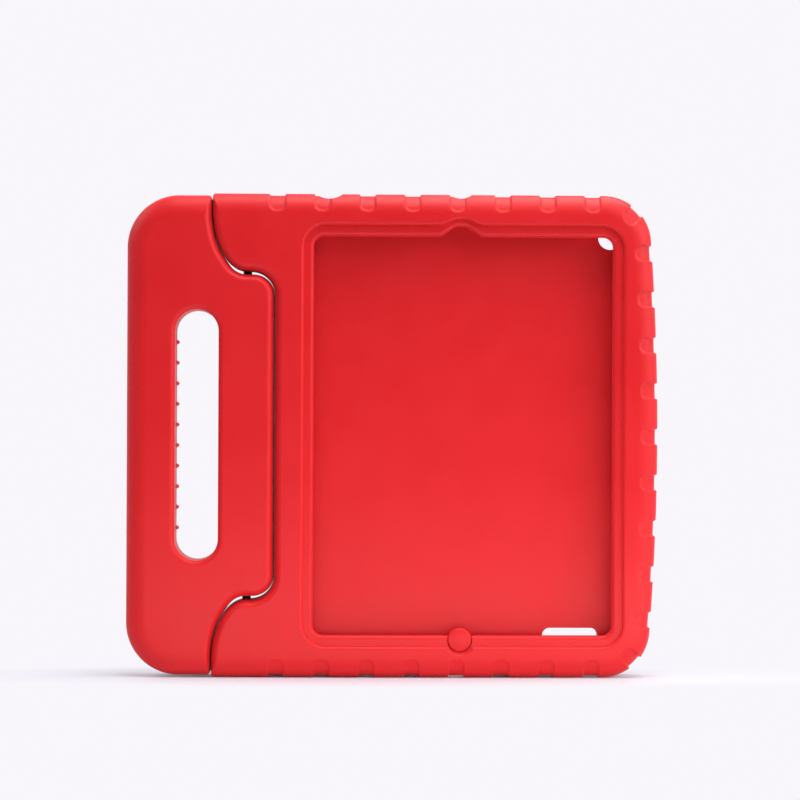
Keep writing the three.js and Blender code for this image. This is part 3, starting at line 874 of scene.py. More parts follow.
@dataclass(frozen=True)
class TreadPattern:
    """U-shaped grooves pressed across the outer edge of the body.

    Each groove is deepest on the side of the case and runs out on its faces. Those of the upper
    and lower edge have `end_share` of the depth of the others.
    """

    width: float = 8.2 * MM
    side_depth: float = 1.35 * MM
    end_depth: float = 0.55 * MM
    reach: float = 9.3 * MM
    end_round: float = 3.2 * MM
    softness: float = 0.38 * MM
    end_grooves: int = 8
    end_pitch: float = 24.12 * MM
    end_shift: float = -3.3 * MM
    end_share: float = 0.75
    side_grooves: int = 9
    side_pitch: float = 24.6 * MM

    def tree(self) -> bpy.types.NodeTree:
        """Builds the geometry tree that sinks the grooves into a shell.

        Returns:
            A tree that reads each vertex's place across and along its groove.
        """
        tree = bpy.data.node_groups.new("tread_grooves", "GeometryNodeTree")
        nodes = NodeTree(tree)
        nodes.socket("Shell", "NodeSocketGeometry")
        for name in ("Width", "Side Depth", "End Depth", "Reach", "End Round", "Softness"):
            nodes.socket(name, "NodeSocketFloat")
        nodes.socket("Material", "NodeSocketMaterial")
        nodes.socket("Shell", "NodeSocketGeometry", output=True)
        given = nodes.add("NodeGroupInput").outputs
        read = {
            name: nodes.add(
                "GeometryNodeInputNamedAttribute", {"Name": name}, data_type="FLOAT"
            ).outputs["Attribute"]
            for name in ("across", "inwards", "share")
        }
        half = nodes.math("MULTIPLY", given["Width"], 0.5)
        side = nodes.math(
            "SUBTRACT",
            nodes.math("ABSOLUTE", read["across"]),
            nodes.math("SUBTRACT", half, given["End Round"]),
        )
        end = nodes.math(
            "SUBTRACT",
            read["inwards"],
            nodes.math("SUBTRACT", given["Reach"], given["End Round"]),
        )
        side_out = nodes.math("MAXIMUM", side, 0.0)
        end_out = nodes.math("MAXIMUM", end, 0.0)
        squares = nodes.math(
            "ADD",
            nodes.math("MULTIPLY", side_out, side_out),
            nodes.math("MULTIPLY", end_out, end_out),
        )
        outside = nodes.math("SQRT", squares)
        inside = nodes.math("MINIMUM", nodes.math("MAXIMUM", side, end), 0.0)
        distance = nodes.math("SUBTRACT", nodes.math("ADD", outside, inside), given["End Round"])
        pressed = nodes.add(
            "ShaderNodeMapRange",
            {
                "Value": distance,
                "From Min": given["Softness"],
                "From Max": nodes.math("MULTIPLY", given["Softness"], -1.0),
                "To Min": 0.0,
                "To Max": 1.0,
            },
            interpolation_type="SMOOTHSTEP",
        ).outputs["Result"]
        depth = nodes.add(
            "ShaderNodeMapRange",
            {
                "Value": read["inwards"],
                "From Min": 0.0,
                "From Max": given["Reach"],
                "To Min": given["Side Depth"],
                "To Max": given["End Depth"],
            },
        ).outputs["Result"]
        shared = nodes.math("MULTIPLY", depth, read["share"])
        sink = nodes.math("MULTIPLY", nodes.math("MULTIPLY", pressed, shared), -1.0)
        offset = nodes.add(
            "ShaderNodeVectorMath",
            {"Vector": nodes.add("GeometryNodeInputNormal").outputs["Normal"], "Scale": sink},
            operation="SCALE",
        ).outputs["Vector"]
        moved = nodes.add(
            "GeometryNodeSetPosition", {"Geometry": given["Shell"], "Offset": offset}
        )
        whole = nodes.add("GeometryNodeRealizeInstances", {"Geometry": moved.outputs["Geometry"]})
        dressed = nodes.add(
            "GeometryNodeSetMaterial",
            {"Geometry": whole.outputs["Geometry"], "Material": given["Material"]},
        )
        nodes.add("NodeGroupOutput", {"Shell": dressed.outputs["Geometry"]})
        return tree

    def press(
        self,
        shell: bpy.types.Object,
        places: Sequence[tuple[float, float, float]],
        material: bpy.types.Material,
    ) -> None:
        """Presses the grooves into a shell.

        Args:
            shell: Dense shell of the body.
            places: For each groove, its place on the edge and the angle that it faces, where 0
                is up and a turn to the left is positive.
            material: Foam to dress the shell in.
        """
        mesh = shell.data
        flat = np.empty(len(mesh.vertices) * 3)
        mesh.vertices.foreach_get("co", flat)
        plan = flat.reshape(-1, 3)[:, [0, 2]]
        across = np.full(len(plan), FAR_AWAY)
        inwards = np.full(len(plan), FAR_AWAY)
        nearest = np.full(len(plan), FAR_AWAY)
        share = np.ones(len(plan))
        for x, z, facing in places:
            out = np.array([-math.sin(facing), math.cos(facing)])
            along = np.array([math.cos(facing), math.sin(facing)])
            offset = plan - np.array([x, z])
            u, v = offset @ along, -(offset @ out)
            away = np.maximum(np.abs(u), np.abs(v - self.reach / 2))
            closer = away < nearest
            nearest[closer] = away[closer]
            across[closer] = u[closer]
            inwards[closer] = v[closer]
            share[closer] = self.end_share if facing in (0.0, math.pi) else 1.0
        for name, values in (("across", across), ("inwards", inwards), ("share", share)):
            attribute = mesh.attributes.new(name, "FLOAT", "POINT")
            attribute.data.foreach_set("value", values)
        run_geometry_nodes(
            shell,
            self.tree(),
            {
                "Width": self.width,
                "Side Depth": self.side_depth,
                "End Depth": self.end_depth,
                "Reach": self.reach,
                "End Round": self.end_round,
                "Softness": self.softness,
                "Material": material,
            },
        )


@dataclass(frozen=True)
class HingeSet:
    """The two barbed pins in the ears, and the bushes in the tab that they turn in."""

    layout: Layout
    ear_end: float = 88.05 * MM
    tab_end: float = 86.05 * MM
    pin_radius: float = 2.35 * MM
    pin_shank: float = 24 * MM
    pin_chamfer: float = 0.6 * MM
    pin_end_gap: float = 0.5 * MM
    barbs: int = 3
    barb_height: float = 0.8 * MM
    barb_start: float = 4 * MM
    barb_taper: float = 0.7
    bush_wall: float = 1 * MM
    bush_length: float = 20 * MM
    bush_floor: float = 1.5 * MM
    bush_inset: float = 0.5 * MM
    bush_lip: float = 0.3 * MM
    running_gap: float = 0.25 * MM
    seat_gap: float = 0.25 * MM

    @property
    def bush_radius(self) -> float:
        """Outer radius of a bush."""
        return self.pin_radius + self.running_gap + self.bush_wall

    @property
    def bush_bottom(self) -> float:
        """Height of the closed end of the upper bush."""
        return self.tab_end - self.bush_inset - self.bush_length

    def upright(
        self, name: str, profile: list[tuple[float, float]], upper: bool
    ) -> bpy.types.Object:
        """Turns a profile on the hinge axis, at the upper or the lower end.

        Args:
            name: Name of the object.
            profile: Pairs of radius and height for the upper end.
            upper: Whether it is the upper one.

        Returns:
            A closed mesh.
        """
        if not upper:
            profile = [(radius, -height) for radius, height in reversed(profile)]
        centre = (self.layout.hinge_x, self.layout.hinge_y, 0.0)
        return turned(name, profile, Axis.Z, centre)

    def pin(self, upper: bool, grow: float = 0.0) -> bpy.types.Object:
        """Makes a pin, or the cutter for its seat.

        Args:
            upper: Whether it is the upper one.
            grow: How far the shape is grown.

        Returns:
            A closed mesh.
        """
        top = self.ear_end + self.pin_shank
        bottom = self.bush_bottom + self.bush_floor + self.pin_end_gap
        chamfer = self.pin_chamfer
        pitch = (self.pin_shank - self.barb_start - chamfer) / self.barbs
        radius = self.pin_radius + grow
        profile = [
            (0, bottom - grow),
            (radius - chamfer, bottom - grow),
            (radius, bottom + chamfer),
        ]
        for k in range(self.barbs):
            z = self.ear_end + self.barb_start + k * pitch
            profile += [(radius, z - grow), (radius + self.barb_height, z - grow)]
            profile.append((radius, z + pitch * self.barb_taper + grow))
        profile += [(radius, top - chamfer + grow), (radius - chamfer, top + grow), (0, top + grow)]
        return self.upright("hinge_pin", profile, upper)

    def bush(self, upper: bool) -> bpy.types.Object:
        """Makes a bush, closed at its inner end.

        Args:
            upper: Whether it is the upper one.

        Returns:
            A closed mesh.
        """
        radius, bore = self.bush_radius, self.pin_radius + self.running_gap
        bottom = self.bush_bottom
        top = bottom + self.bush_length
        lip = self.bush_lip
        floor = bottom + self.bush_floor
        profile = [
            (0, bottom),
            (radius - lip, bottom),
            (radius, bottom + lip),
            (radius, top - lip),
            (radius - lip, top),
            (bore + lip, top),
            (bore, top - lip),
            (bore, floor),
            (0, floor),
        ]
        return self.upright("hinge_bush", profile, upper)

    def bush_bore(self, upper: bool) -> bpy.types.Object:
        """Makes the cutter for a bush's seat in the tab.

        Args:
            upper: Whether it is the upper one.

        Returns:
            A closed mesh.
        """
        radius = self.bush_radius + self.seat_gap
        bottom, top = self.bush_bottom - self.seat_gap, self.tab_end + OVERSHOOT
        profile = [(0, bottom), (radius, bottom), (radius, top), (0, top)]
        return self.upright("bush_bore", profile, upper)

    def build(
        self, upper: bool, material: bpy.types.Material
    ) -> tuple[bpy.types.Object, bpy.types.Object]:
        """Builds and dresses the pin and the bush of one end.

        Args:
            upper: Whether it is the upper one.
            material: Nylon to dress them in.

        Returns:
            The pin and the bush.
        """
        pieces = (self.pin(upper), self.bush(upper))
        for piece in pieces:
            self.layout.place(piece)
            finish_shading(piece, material)
        return pieces


@dataclass(frozen=True)
class CaseBody:
    """The foam moulding that holds the tablet, with the two ears of the hinge."""

    layout: Layout
    hinge: HingeSet
    tread: TreadPattern = TreadPattern()
    side_bow: float = 3.7 * MM
    shell_spacing: float = 0.5 * MM
    plain_thinning: int = 3
    groove_surround: float = 1.2 * MM
    side_steps: int = 20
    flat_band: float = 2.5 * MM
    slot_wall: float = 7.65 * MM
    ear_length: float = 41.4 * MM
    ear_corner_height: float = 31.95 * MM
    slot_corner: float = 13 * MM
    lip_cover_side: float = 12.55 * MM
    lip_cover_end: float = 13.75 * MM
    lip_width_side: float = 5.3 * MM
    lip_width_end: float = 5.8 * MM
    lip_step: float = 2.5 * MM
    lip_thickness: float = 5.5 * MM
    lip_edge_round: float = 2.2 * MM
    rim_round: float = 1.8 * MM
    rim_corner: float = 12 * MM
    window_corner: float = 5.5 * MM
    tablet_corner: float = 9 * MM
    tablet_thickness: float = 9.4 * MM
    dip_top_width: float = 5.9 * MM
    dip_base_width: float = 21.5 * MM
    dip_height: float = 5.4 * MM
    rim_dip_height: float = 3.2 * MM
    dip_corner: float = 5 * MM
    pad_radius: float = 6.4 * MM
    pad_below_edge: float = 2.4 * MM
    pad_gap: float = 0.35 * MM
    pad_landing: float = 1 * MM
    pad_travel: float = 1.5 * MM
    pad_flange_width: float = 1.8 * MM
    pad_flange_thickness: float = 1.2 * MM
    pad_flange_gap: float = 0.3 * MM
    bay_clearance: float = 1 * MM
    port_round: float = 0.8 * MM
    jack_from_side: float = 20.8 * MM
    jack_radius: float = 4.5 * MM
    jack_scoop: tuple[float, float] = (14.5 * MM, 2.7 * MM)
    microphone_radius: float = 1.8 * MM
    microphone_scoop: tuple[float, float] = (11.8 * MM, 2.2 * MM)
    power_key_from_side: float = 24 * MM
    power_key: tuple[float, float] = (17 * MM, 7 * MM)
    volume_key_from_end: float = 45 * MM
    volume_key: tuple[float, float] = (42 * MM, 7 * MM)
    dock_slot: tuple[float, float] = (34 * MM, 8.4 * MM)
    camera_inset: float = 13 * MM
    camera_radii: tuple[float, float] = (6.5 * MM, 10 * MM)
    speaker_place: tuple[float, float] = (34 * MM, 13 * MM)
    speaker_slot: tuple[float, float] = (30 * MM, 8 * MM)
    panel_depth: float = 3.2 * MM
    panel_margin: float = 4 * MM
    panel_corner: float = 12 * MM
    panel_round: float = 2 * MM

    @property
    def side_x(self) -> float:
        """Far side of the body at mid height."""
        return self.layout.pocket_half_width + self.layout.side_wall

    @property
    def bow_radius(self) -> float:
        """Radius of the far side's bow."""
        half = self.layout.half_height - self.layout.corner_radius
        return (half**2 + self.side_bow**2) / (2 * self.side_bow)

    @property
    def window(self) -> tuple[float, float]:
        """Half the width and half the height of the window."""
        layout = self.layout
        return (
            layout.tablet_width / 2 - self.lip_cover_side,
            layout.tablet_height / 2 - self.lip_cover_end,
        )

    @property
    def lip_front(self) -> float:
        """Depth of the lip's face."""
        return self.layout.front + self.lip_step

    @property
    def pocket_front(self) -> float:
        """Depth of the front of the tablet's bay."""
        return self.lip_front + self.lip_thickness

    @property
    def pocket_back(self) -> float:
        """Depth of the back of the tablet's bay."""
        return self.pocket_front + self.tablet_thickness + self.layout.tablet_fit

    @property
    def inside_bay(self) -> float:
        """Depth just before the back of the bay, where the cutters that open into it end."""
        return self.pocket_back - self.bay_clearance

    @property
    def port_y(self) -> float:
        """Depth of the middle of the ports."""
        return (self.pocket_front + self.pocket_back) / 2

    @property
    def pad_z(self) -> float:
        """Height of the press pad's middle."""
        return -self.window[1] - self.pad_below_edge

    def side_edge(self, z: float) -> float:
        """Far side of the body at a height."""
        return self.side_x - self.bow_radius + math.sqrt(self.bow_radius**2 - z**2)

    def outline(self) -> Ring:
        """Outline of the body's block, which runs on under the handle.

        Returns:
            The outline, with its points close together round the grooves alone.
        """
        layout = self.layout
        high = layout.half_height
        angle = math.asin((high - layout.corner_radius) / self.bow_radius)
        peak = self.side_x + self.bow_radius * (1 / math.cos(angle) - 1)
        corner = peak - high * math.tan(angle)
        start = layout.ear_x - layout.spare
        ring = rounded_outline(
            [
                Corner(start, -high),
                Corner(corner, -high, layout.corner_radius),
                Corner(peak, 0, self.bow_radius),
                Corner(corner, high, layout.corner_radius),
                Corner(start, high),
            ]
        ).divided(self.shell_spacing)
        near = np.zeros(len(ring.points), dtype=bool)
        reach = self.tread.width / 2 + self.groove_surround
        for x, z, _ in self.groove_places():
            near |= np.hypot(*(ring.points - np.array([x, z])).T) < reach
        kept = near | (np.arange(len(near)) % self.plain_thinning == 0)
        return Ring(ring.points[kept], ring.normals[kept])

    def seam_block(self) -> bpy.types.Object:
        """Block that keeps the body's side of the seam.

        Returns:
            A closed mesh.
        """
        layout = self.layout
        far_x = self.side_x + layout.spare
        far_z = layout.half_height + layout.spare
        end = layout.half_height - self.ear_length
        slot = -layout.pocket_half_width - self.slot_wall
        ear_reach = layout.hinge_x - layout.ear_x
        corners = [
            Corner(layout.ear_x, -far_z),
            Corner(far_x, -far_z),
            Corner(far_x, far_z),
            Corner(layout.ear_x, far_z),
            Corner(layout.ear_x, end, self.ear_corner_height, ear_reach),
            Corner(slot, end, self.slot_corner),
            Corner(slot, -end, self.slot_corner),
            Corner(layout.ear_x, -end, ear_reach, self.ear_corner_height),
        ]
        return loft("seam_block", rounded_outline(corners), layout.seam_layers())

    def groove_places(self) -> list[tuple[float, float, float]]:
        """Place on the edge of each groove, and the angle that it faces.

        Returns:
            Groups of X, Z and angle: the upper and lower edge, the far side, then its corners.
        """
        layout = self.layout
        tread = self.tread
        places = []
        for k in range(tread.end_grooves):
            x = tread.end_shift + (k - tread.end_grooves / 2) * tread.end_pitch
            places.append((x, layout.half_height, 0.0))
            places.append((x, -layout.half_height, math.pi))
        for k in range(tread.side_grooves):
            z = (k - (tread.side_grooves - 1) / 2) * tread.side_pitch
            places.append((self.side_edge(z), z, -math.pi / 2))
        straight_z = layout.half_height - layout.corner_radius
        diagonal = layout.corner_radius * math.sqrt(0.5)
        corner_x = self.side_edge(straight_z) - layout.corner_radius + diagonal
        places.append((corner_x, straight_z + diagonal, -math.pi / 4))
        places.append((corner_x, -straight_z - diagonal, -3 * math.pi / 4))
        return places

    def dipped(self, half_width: float, half_height: float, corner: float, dip: float) -> Ring:
        """Draws a window outline with the camera dip in its upper edge.

        Args:
            half_width: Half the width.
            half_height: Half the height.
            corner: Radius of the corners.
            dip: Height of the dip.

        Returns:
            The outline.
        """
        shift = self.layout.fittings_shift
        top, base = self.dip_top_width / 2, self.dip_base_width / 2
        return rounded_outline(
            [
                Corner(-half_width, -half_height, corner),
                Corner(half_width, -half_height, corner),
                Corner(half_width, half_height, corner),
                Corner(shift + base, half_height, self.dip_corner),
                Corner(shift + top, half_height + dip, self.dip_corner),
                Corner(shift - top, half_height + dip, self.dip_corner),
                Corner(shift - base, half_height, self.dip_corner),
                Corner(-half_width, half_height, corner),
            ]
        )

    def screen_cuts(self) -> list[bpy.types.Object]:
        """Cutters for the step, the window and the tablet's bay.

        Returns:
            Closed meshes.
        """
        layout = self.layout
        width, height = self.window
        rim = self.dipped(
            width + self.lip_width_side,
            height + self.lip_width_end,
            self.rim_corner,
            self.rim_dip_height,
        )
        window = self.dipped(width, height, self.window_corner, self.dip_height)
        bay = rectangle(
            0, 0, layout.pocket_half_width, layout.pocket_half_height, self.tablet_corner
        )
        opening = rounded_entry(self.lip_front, self.inside_bay, self.lip_edge_round)
        return [
            loft("rim", rim, rounded_entry(layout.front, self.lip_front, self.rim_round)),
            loft("window", window, opening),
            loft("bay", bay, straight(self.pocket_front, self.pocket_back)),
        ]

    def pad_cuts(self) -> list[bpy.types.Object]:
        """Cutters for the press pad's landing, bore and flange pocket.

        Returns:
            Closed meshes.
        """
        layout = self.layout
        landing = self.pad_radius + self.pad_landing
        ring = rectangle(
            layout.fittings_shift, self.pad_z, landing, landing, landing * ALMOST_ROUND
        )
        centre = (layout.fittings_shift, 0.0, self.pad_z)
        bore = self.pad_radius + self.pad_gap
        pocket = bore + self.pad_flange_width
        flange_room = self.pad_travel + self.pad_flange_thickness + self.pad_flange_gap
        start, end = self.pocket_front - flange_room, self.inside_bay
        return [
            loft("landing", ring, rounded_entry(layout.front, self.lip_front, self.rim_round)),
            plug(Axis.Y, self.lip_front - OVERSHOOT, end, bore, centre),
            plug(Axis.Y, start, end, pocket, centre),
        ]

    def scoop(self, x: float, size: tuple[float, float]) -> bpy.types.Object:
        """Cutter for a shallow dip across the top edge.

        Args:
            x: Place of the dip.
            size: Its width and depth.

        Returns:
            A closed mesh.
        """
        width, depth = size
        radius = (width**2 / 4 + depth**2) / (2 * depth)
        z = self.layout.half_height - depth + radius
        return plug(
            Axis.Y,
            self.layout.front - OVERSHOOT,
            self.layout.back + OVERSHOOT,
            radius,
            (x, 0.0, z),
        )

    def port(
        self, axis: Axis, face: float, to: float, size: tuple[float, float], middle: float
    ) -> bpy.types.Object:
        """Cutter for a slot with round ends through an edge wall, with a soft outer edge.

        Args:
            axis: Axis that the slot is cut along.
            face: Outer face of the wall.
            to: Where the cut ends, inside the bay.
            size: Length and height of the slot.
            middle: Place of its middle along the wall.

        Returns:
            A closed mesh.
        """
        half_length, half_height = size[0] / 2, size[1] / 2
        radius = half_height * ALMOST_ROUND
        sideways = axis is Axis.X
        reach = (half_height, half_length) if sideways else (half_length, half_height)
        layers = rounded_entry(face, to, self.port_round)
        cutter = loft("port", rectangle(0, 0, *reach, radius), layers)
        for vertex in cutter.data.vertices:
            x, depth, z = vertex.co
            if sideways:
                vertex.co = (depth, self.port_y - x, z + middle)
            else:
                vertex.co = (x + middle, self.port_y - z, depth)
        cutter.data.update()
        return cutter

    def edge_cuts(self) -> list[bpy.types.Object]:
        """Cutters for the sockets and keys on the tablet's edges.

        Returns:
            Closed meshes.
        """
        layout = self.layout
        shift = layout.fittings_shift
        half_width, half_height = layout.tablet_width / 2, layout.tablet_height / 2
        jack_x = -half_width + self.jack_from_side
        power_x = half_width - self.power_key_from_side
        volume_z = half_height - self.volume_key_from_end
        side, beside = self.side_edge(volume_z), layout.pocket_half_width - OVERSHOOT
        top, inside = layout.half_height, layout.pocket_half_height - OVERSHOOT
        jack = (2 * self.jack_radius / ALMOST_ROUND, 2 * self.jack_radius)
        microphone = (2 * self.microphone_radius / ALMOST_ROUND, 2 * self.microphone_radius)
        return [
            self.scoop(jack_x, self.jack_scoop),
            self.scoop(shift, self.microphone_scoop),
            self.port(Axis.Z, top - self.jack_scoop[1], inside, jack, jack_x),
            self.port(Axis.Z, top - self.microphone_scoop[1], inside, microphone, shift),
            self.port(Axis.Z, top, inside, self.power_key, power_x),
            self.port(Axis.X, side, beside, self.volume_key, volume_z),
            self.port(Axis.Z, -top, -inside, self.dock_slot, shift),
        ]

    def back_cuts(self) -> list[bpy.types.Object]:
        """Cutters for the sunk back panel, the rear camera's hole and the speaker's slot.

        Returns:
            Closed meshes.
        """
        layout = self.layout
        panel = rectangle(
            0,
            0,
            layout.pocket_half_width - self.panel_margin,
            layout.pocket_half_height - self.panel_margin,
            self.panel_corner,
        )
        floor, inside = layout.back - self.panel_depth, self.inside_bay
        half_width, half_height = layout.tablet_width / 2, layout.tablet_height / 2
        camera = (half_width - self.camera_inset, 0.0, half_height - self.camera_inset)
        hole, mouth = self.camera_radii
        speaker = rectangle(
            half_width - self.speaker_place[0],
            -half_height + self.speaker_place[1],
            self.speaker_slot[0] / 2,
            self.speaker_slot[1] / 2,
            self.speaker_slot[1] / 2 * ALMOST_ROUND,
        )
        return [
            loft("panel", panel, rounded_entry(layout.back, floor, self.panel_round)),
            plug(Axis.Y, inside, floor + OVERSHOOT, hole, camera),
            plug(Axis.Y, self.pocket_back, floor, hole, camera, mouth),
            loft("speaker", speaker, rounded_entry(floor, inside, self.port_round)),
        ]

    def build(self, material: bpy.types.Material) -> bpy.types.Object:
        """Builds and dresses the moulding.

        Args:
            material: Foam to dress it in.

        Returns:
            The finished piece.
        """
        layout = self.layout
        layers = layout.outer_layers(self.side_steps, self.flat_band)
        body = loft("foam_case_body", self.outline(), layers)
        body.data.shade_smooth()
        self.tread.press(body, self.groove_places(), material)
        combine(body, self.seam_block(), Cut.KEEP)
        cuts = self.screen_cuts() + self.pad_cuts() + self.edge_cuts() + self.back_cuts()
        cuts.append(layout.mouth_corner(layout.ear_x, layout.half_height, -1))
        cuts.append(layout.mouth_corner(layout.ear_x, -layout.half_height, -1))
        cuts += [self.hinge.pin(upper, self.hinge.seat_gap) for upper in (True, False)]
        for cut in cuts:
            combine(body, cut, Cut.TAKE)
        layout.place(body)
        finish_shading(body, material)
        return body


@dataclass(frozen=True)
class FingerRibs:
    """Ridges for the fingers, round the back edge of the grip inside the hole."""

    count: int = 10
    pitch: float = 11.1 * MM
    width: float = 2.9 * MM
    height: float = 1.7 * MM
    curve: float = 9 * MM
    root: float = 2.6 * MM
    sweep_sides: int = 64
    section_sides: int = 20

    def tree(self) -> bpy.types.NodeTree:
        """Builds the geometry tree that repeats one round ridge up the grip.

        Returns:
            A tree whose inputs are the ridges' number and sizes.
        """
        tree = bpy.data.node_groups.new("finger_ribs", "GeometryNodeTree")
        nodes = NodeTree(tree)
        nodes.socket("Seat", "NodeSocketGeometry")
        nodes.socket("Count", "NodeSocketInt")
        for name in ("Pitch", "Width", "Root", "Curve", "First"):
            nodes.socket(name, "NodeSocketFloat")
        nodes.socket("Material", "NodeSocketMaterial")
        nodes.socket("Ribs", "NodeSocketGeometry", output=True)
        given = nodes.add("NodeGroupInput").outputs
        start = nodes.add("ShaderNodeCombineXYZ", {"Z": given["First"]})
        rise = nodes.add("ShaderNodeCombineXYZ", {"Z": given["Pitch"]})
        line = nodes.add(
            "GeometryNodeMeshLine",
            {
                "Count": given["Count"],
                "Start Location": start.outputs["Vector"],
                "Offset": rise.outputs["Vector"],
            },
        )
        sweep = nodes.add(
            "GeometryNodeCurvePrimitiveCircle",
            {
                "Resolution": self.sweep_sides,
                "Radius": nodes.math("SUBTRACT", given["Curve"], given["Root"]),
            },
        )
        section = nodes.add(
            "GeometryNodeCurvePrimitiveCircle",
            {"Resolution": self.section_sides, "Radius": 1.0},
        )
        half = nodes.math("MULTIPLY", given["Width"], 0.5)
        oval = nodes.add("ShaderNodeCombineXYZ", {"X": given["Root"], "Y": half, "Z": 1.0})
        shaped = nodes.add(
            "GeometryNodeTransform",
            {"Geometry": section.outputs["Curve"], "Scale": oval.outputs["Vector"]},
        )
        ridge = nodes.add(
            "GeometryNodeCurveToMesh",
            {"Curve": sweep.outputs["Curve"], "Profile Curve": shaped.outputs["Geometry"]},
        )
        copies = nodes.add(
            "GeometryNodeInstanceOnPoints",
            {"Points": line.outputs["Mesh"], "Instance": ridge.outputs["Mesh"]},
        )
        whole = nodes.add("GeometryNodeRealizeInstances", {"Geometry": copies.outputs["Instances"]})
        dressed = nodes.add(
            "GeometryNodeSetMaterial",
            {"Geometry": whole.outputs["Geometry"], "Material": given["Material"]},
        )
        nodes.add("NodeGroupOutput", {"Ribs": dressed.outputs["Geometry"]})
        return tree

    def build(self, wall_x: float, back: float, material: bpy.types.Material) -> bpy.types.Object:
        """Builds the ridges.

        Args:
            wall_x: Wall of the hole that they stand on.
            back: Depth of the handle's back face.
            material: Foam to dress them in.

        Returns:
            One mesh of closed rings, to be joined to the handle.
        """
        ribs = new_object("finger_ribs", np.zeros((1, 3)), [])
        run_geometry_nodes(
            ribs,
            self.tree(),
            {
                "Count": self.count,
                "Pitch": self.pitch,
                "Width": self.width,
                "Root": self.root,
                "Curve": self.curve,
                "First": -(self.count - 1) / 2 * self.pitch,
                "Material": material,
            },
        )
        for vertex in ribs.data.vertices:
            vertex.co.x += wall_x + self.height - self.curve
            vertex.co.y += back - self.curve
        ribs.data.update()
        return ribs


@dataclass(frozen=True)
class Handle:
    """The foam carrying handle, whose tab turns between the body's ears."""

    layout: Layout
    hinge: HingeSet
    ribs: FingerRibs = FingerRibs()
    grip_width: float = 25.9 * MM
    hole_width: float = 23.1 * MM
    hole_length: float = 134 * MM
    hole_round: float = 3 * MM
    hole_roundness: float = 0.9995
    hole_overlap: float = 1 * MM
    shoulder_corner_height: float = 33.95 * MM
    swing_gap: float = 0.6 * MM
    open_share: tuple[float, float] = (0.07, 0.26)
    tab_corner: float = 11 * MM
    tab_ease: float = 0.06 * MM
    side_steps: int = 2

    @property
    def hole_x(self) -> float:
        """Middle of the grip hole."""
        return self.layout.handle_x + self.grip_width + self.hole_width / 2

    @property
    def tab_end(self) -> float:
        """Height of the tab's end."""
        return self.hinge.tab_end

    @property
    def shoulder_reach(self) -> float:
        """Distance of the shoulders from the hinge axis, clear of the ears."""
        return self.layout.hinge_x - self.layout.ear_x + self.swing_gap

    def outline(self) -> Ring:
        """Outline of the handle's block, which runs on past the tab.

        Returns:
            The outline.
        """
        layout = self.layout
        high = layout.handle_half_height
        end = layout.tab_x + layout.spare
        return rounded_outline(
            [
                Corner(layout.handle_x, -high, layout.handle_corner),
                Corner(end, -high),
                Corner(end, high),
                Corner(layout.handle_x, high, layout.handle_corner),
            ]
        )

    def seam_block(self) -> bpy.types.Object:
        """Block that keeps the handle's side of the seam.

        Returns:
            A closed mesh.
        """
        layout = self.layout
        far_x = layout.handle_x - layout.spare
        far_z = layout.handle_half_height + layout.spare
        reach = self.shoulder_reach
        shoulder = layout.hinge_x - reach
        tab = layout.tab_x - self.tab_ease
        corners = [
            Corner(far_x, -far_z),
            Corner(shoulder, -far_z),
            Corner(shoulder, -self.tab_end, self.shoulder_corner_height, reach),
            Corner(tab, -self.tab_end, self.tab_corner),
            Corner(tab, self.tab_end, self.tab_corner),
            Corner(shoulder, self.tab_end, reach, self.shoulder_corner_height),
            Corner(shoulder, far_z),
            Corner(far_x, far_z),
        ]
        ring = rounded_outline(corners)
        return loft("seam_block", self.drawn_close(ring), layout.seam_layers())

    def drawn_close(self, ring: Ring) -> Ring:
        """Draws the shoulders towards the ears, so that the seam opens only next to the pins.

        Args:
            ring: Outline of the handle's side of the seam.

        Returns:
            The outline with its two shoulder arcs moved along their normals.
        """
        above = (np.abs(ring.points[:, 1]) - self.tab_end) / self.shoulder_corner_height
        rise = 1 - np.clip(above, 0, 1)
        run = np.sqrt(1 - rise**2)
        normal = np.stack([run / self.shoulder_reach, rise / self.shoulder_corner_height], axis=1)
        normal /= np.linalg.norm(normal, axis=1)[:, None]
        end_gap = self.hinge.ear_end - self.tab_end
        gap = self.swing_gap * run * normal[:, 0] + end_gap * rise * normal[:, 1]
        t = np.clip((above - self.open_share[0]) / (self.open_share[1] - self.open_share[0]), 0, 1)
        closer = np.maximum(gap - self.swing_gap, 0) * t * t * (3 - 2 * t)
        return Ring(ring.points + ring.normals * closer[:, None], ring.normals)

    def build(self, material: bpy.types.Material) -> bpy.types.Object:
        """Builds and dresses the moulding.

        Args:
            material: Foam to dress it in.

        Returns:
            The finished piece.
        """
        layout = self.layout
        handle = loft("foam_handle", self.outline(), layout.outer_layers(self.side_steps))
        combine(handle, self.seam_block(), Cut.KEEP)
        half_width = self.hole_width / 2
        hole = rectangle(
            self.hole_x, 0, half_width, self.hole_length / 2, half_width * self.hole_roundness
        )
        for face, to in ((layout.front, self.hole_overlap), (layout.back, 0.0)):
            cutter = loft("hole", hole, rounded_entry(face, to, self.hole_round))
            combine(handle, cutter, Cut.TAKE)
        ribs = self.ribs.build(layout.handle_x + self.grip_width, layout.back, material)
        combine(handle, ribs, Cut.JOIN)
        shoulder = layout.hinge_x - self.shoulder_reach
        high = layout.handle_half_height
        for z in (high, -high):
            combine(handle, layout.mouth_corner(shoulder, z, 1), Cut.TAKE)
        for upper in (True, False):
            combine(handle, self.hinge.bush_bore(upper), Cut.TAKE)
        layout.place(handle)
        finish_shading(handle, material)
        return handle


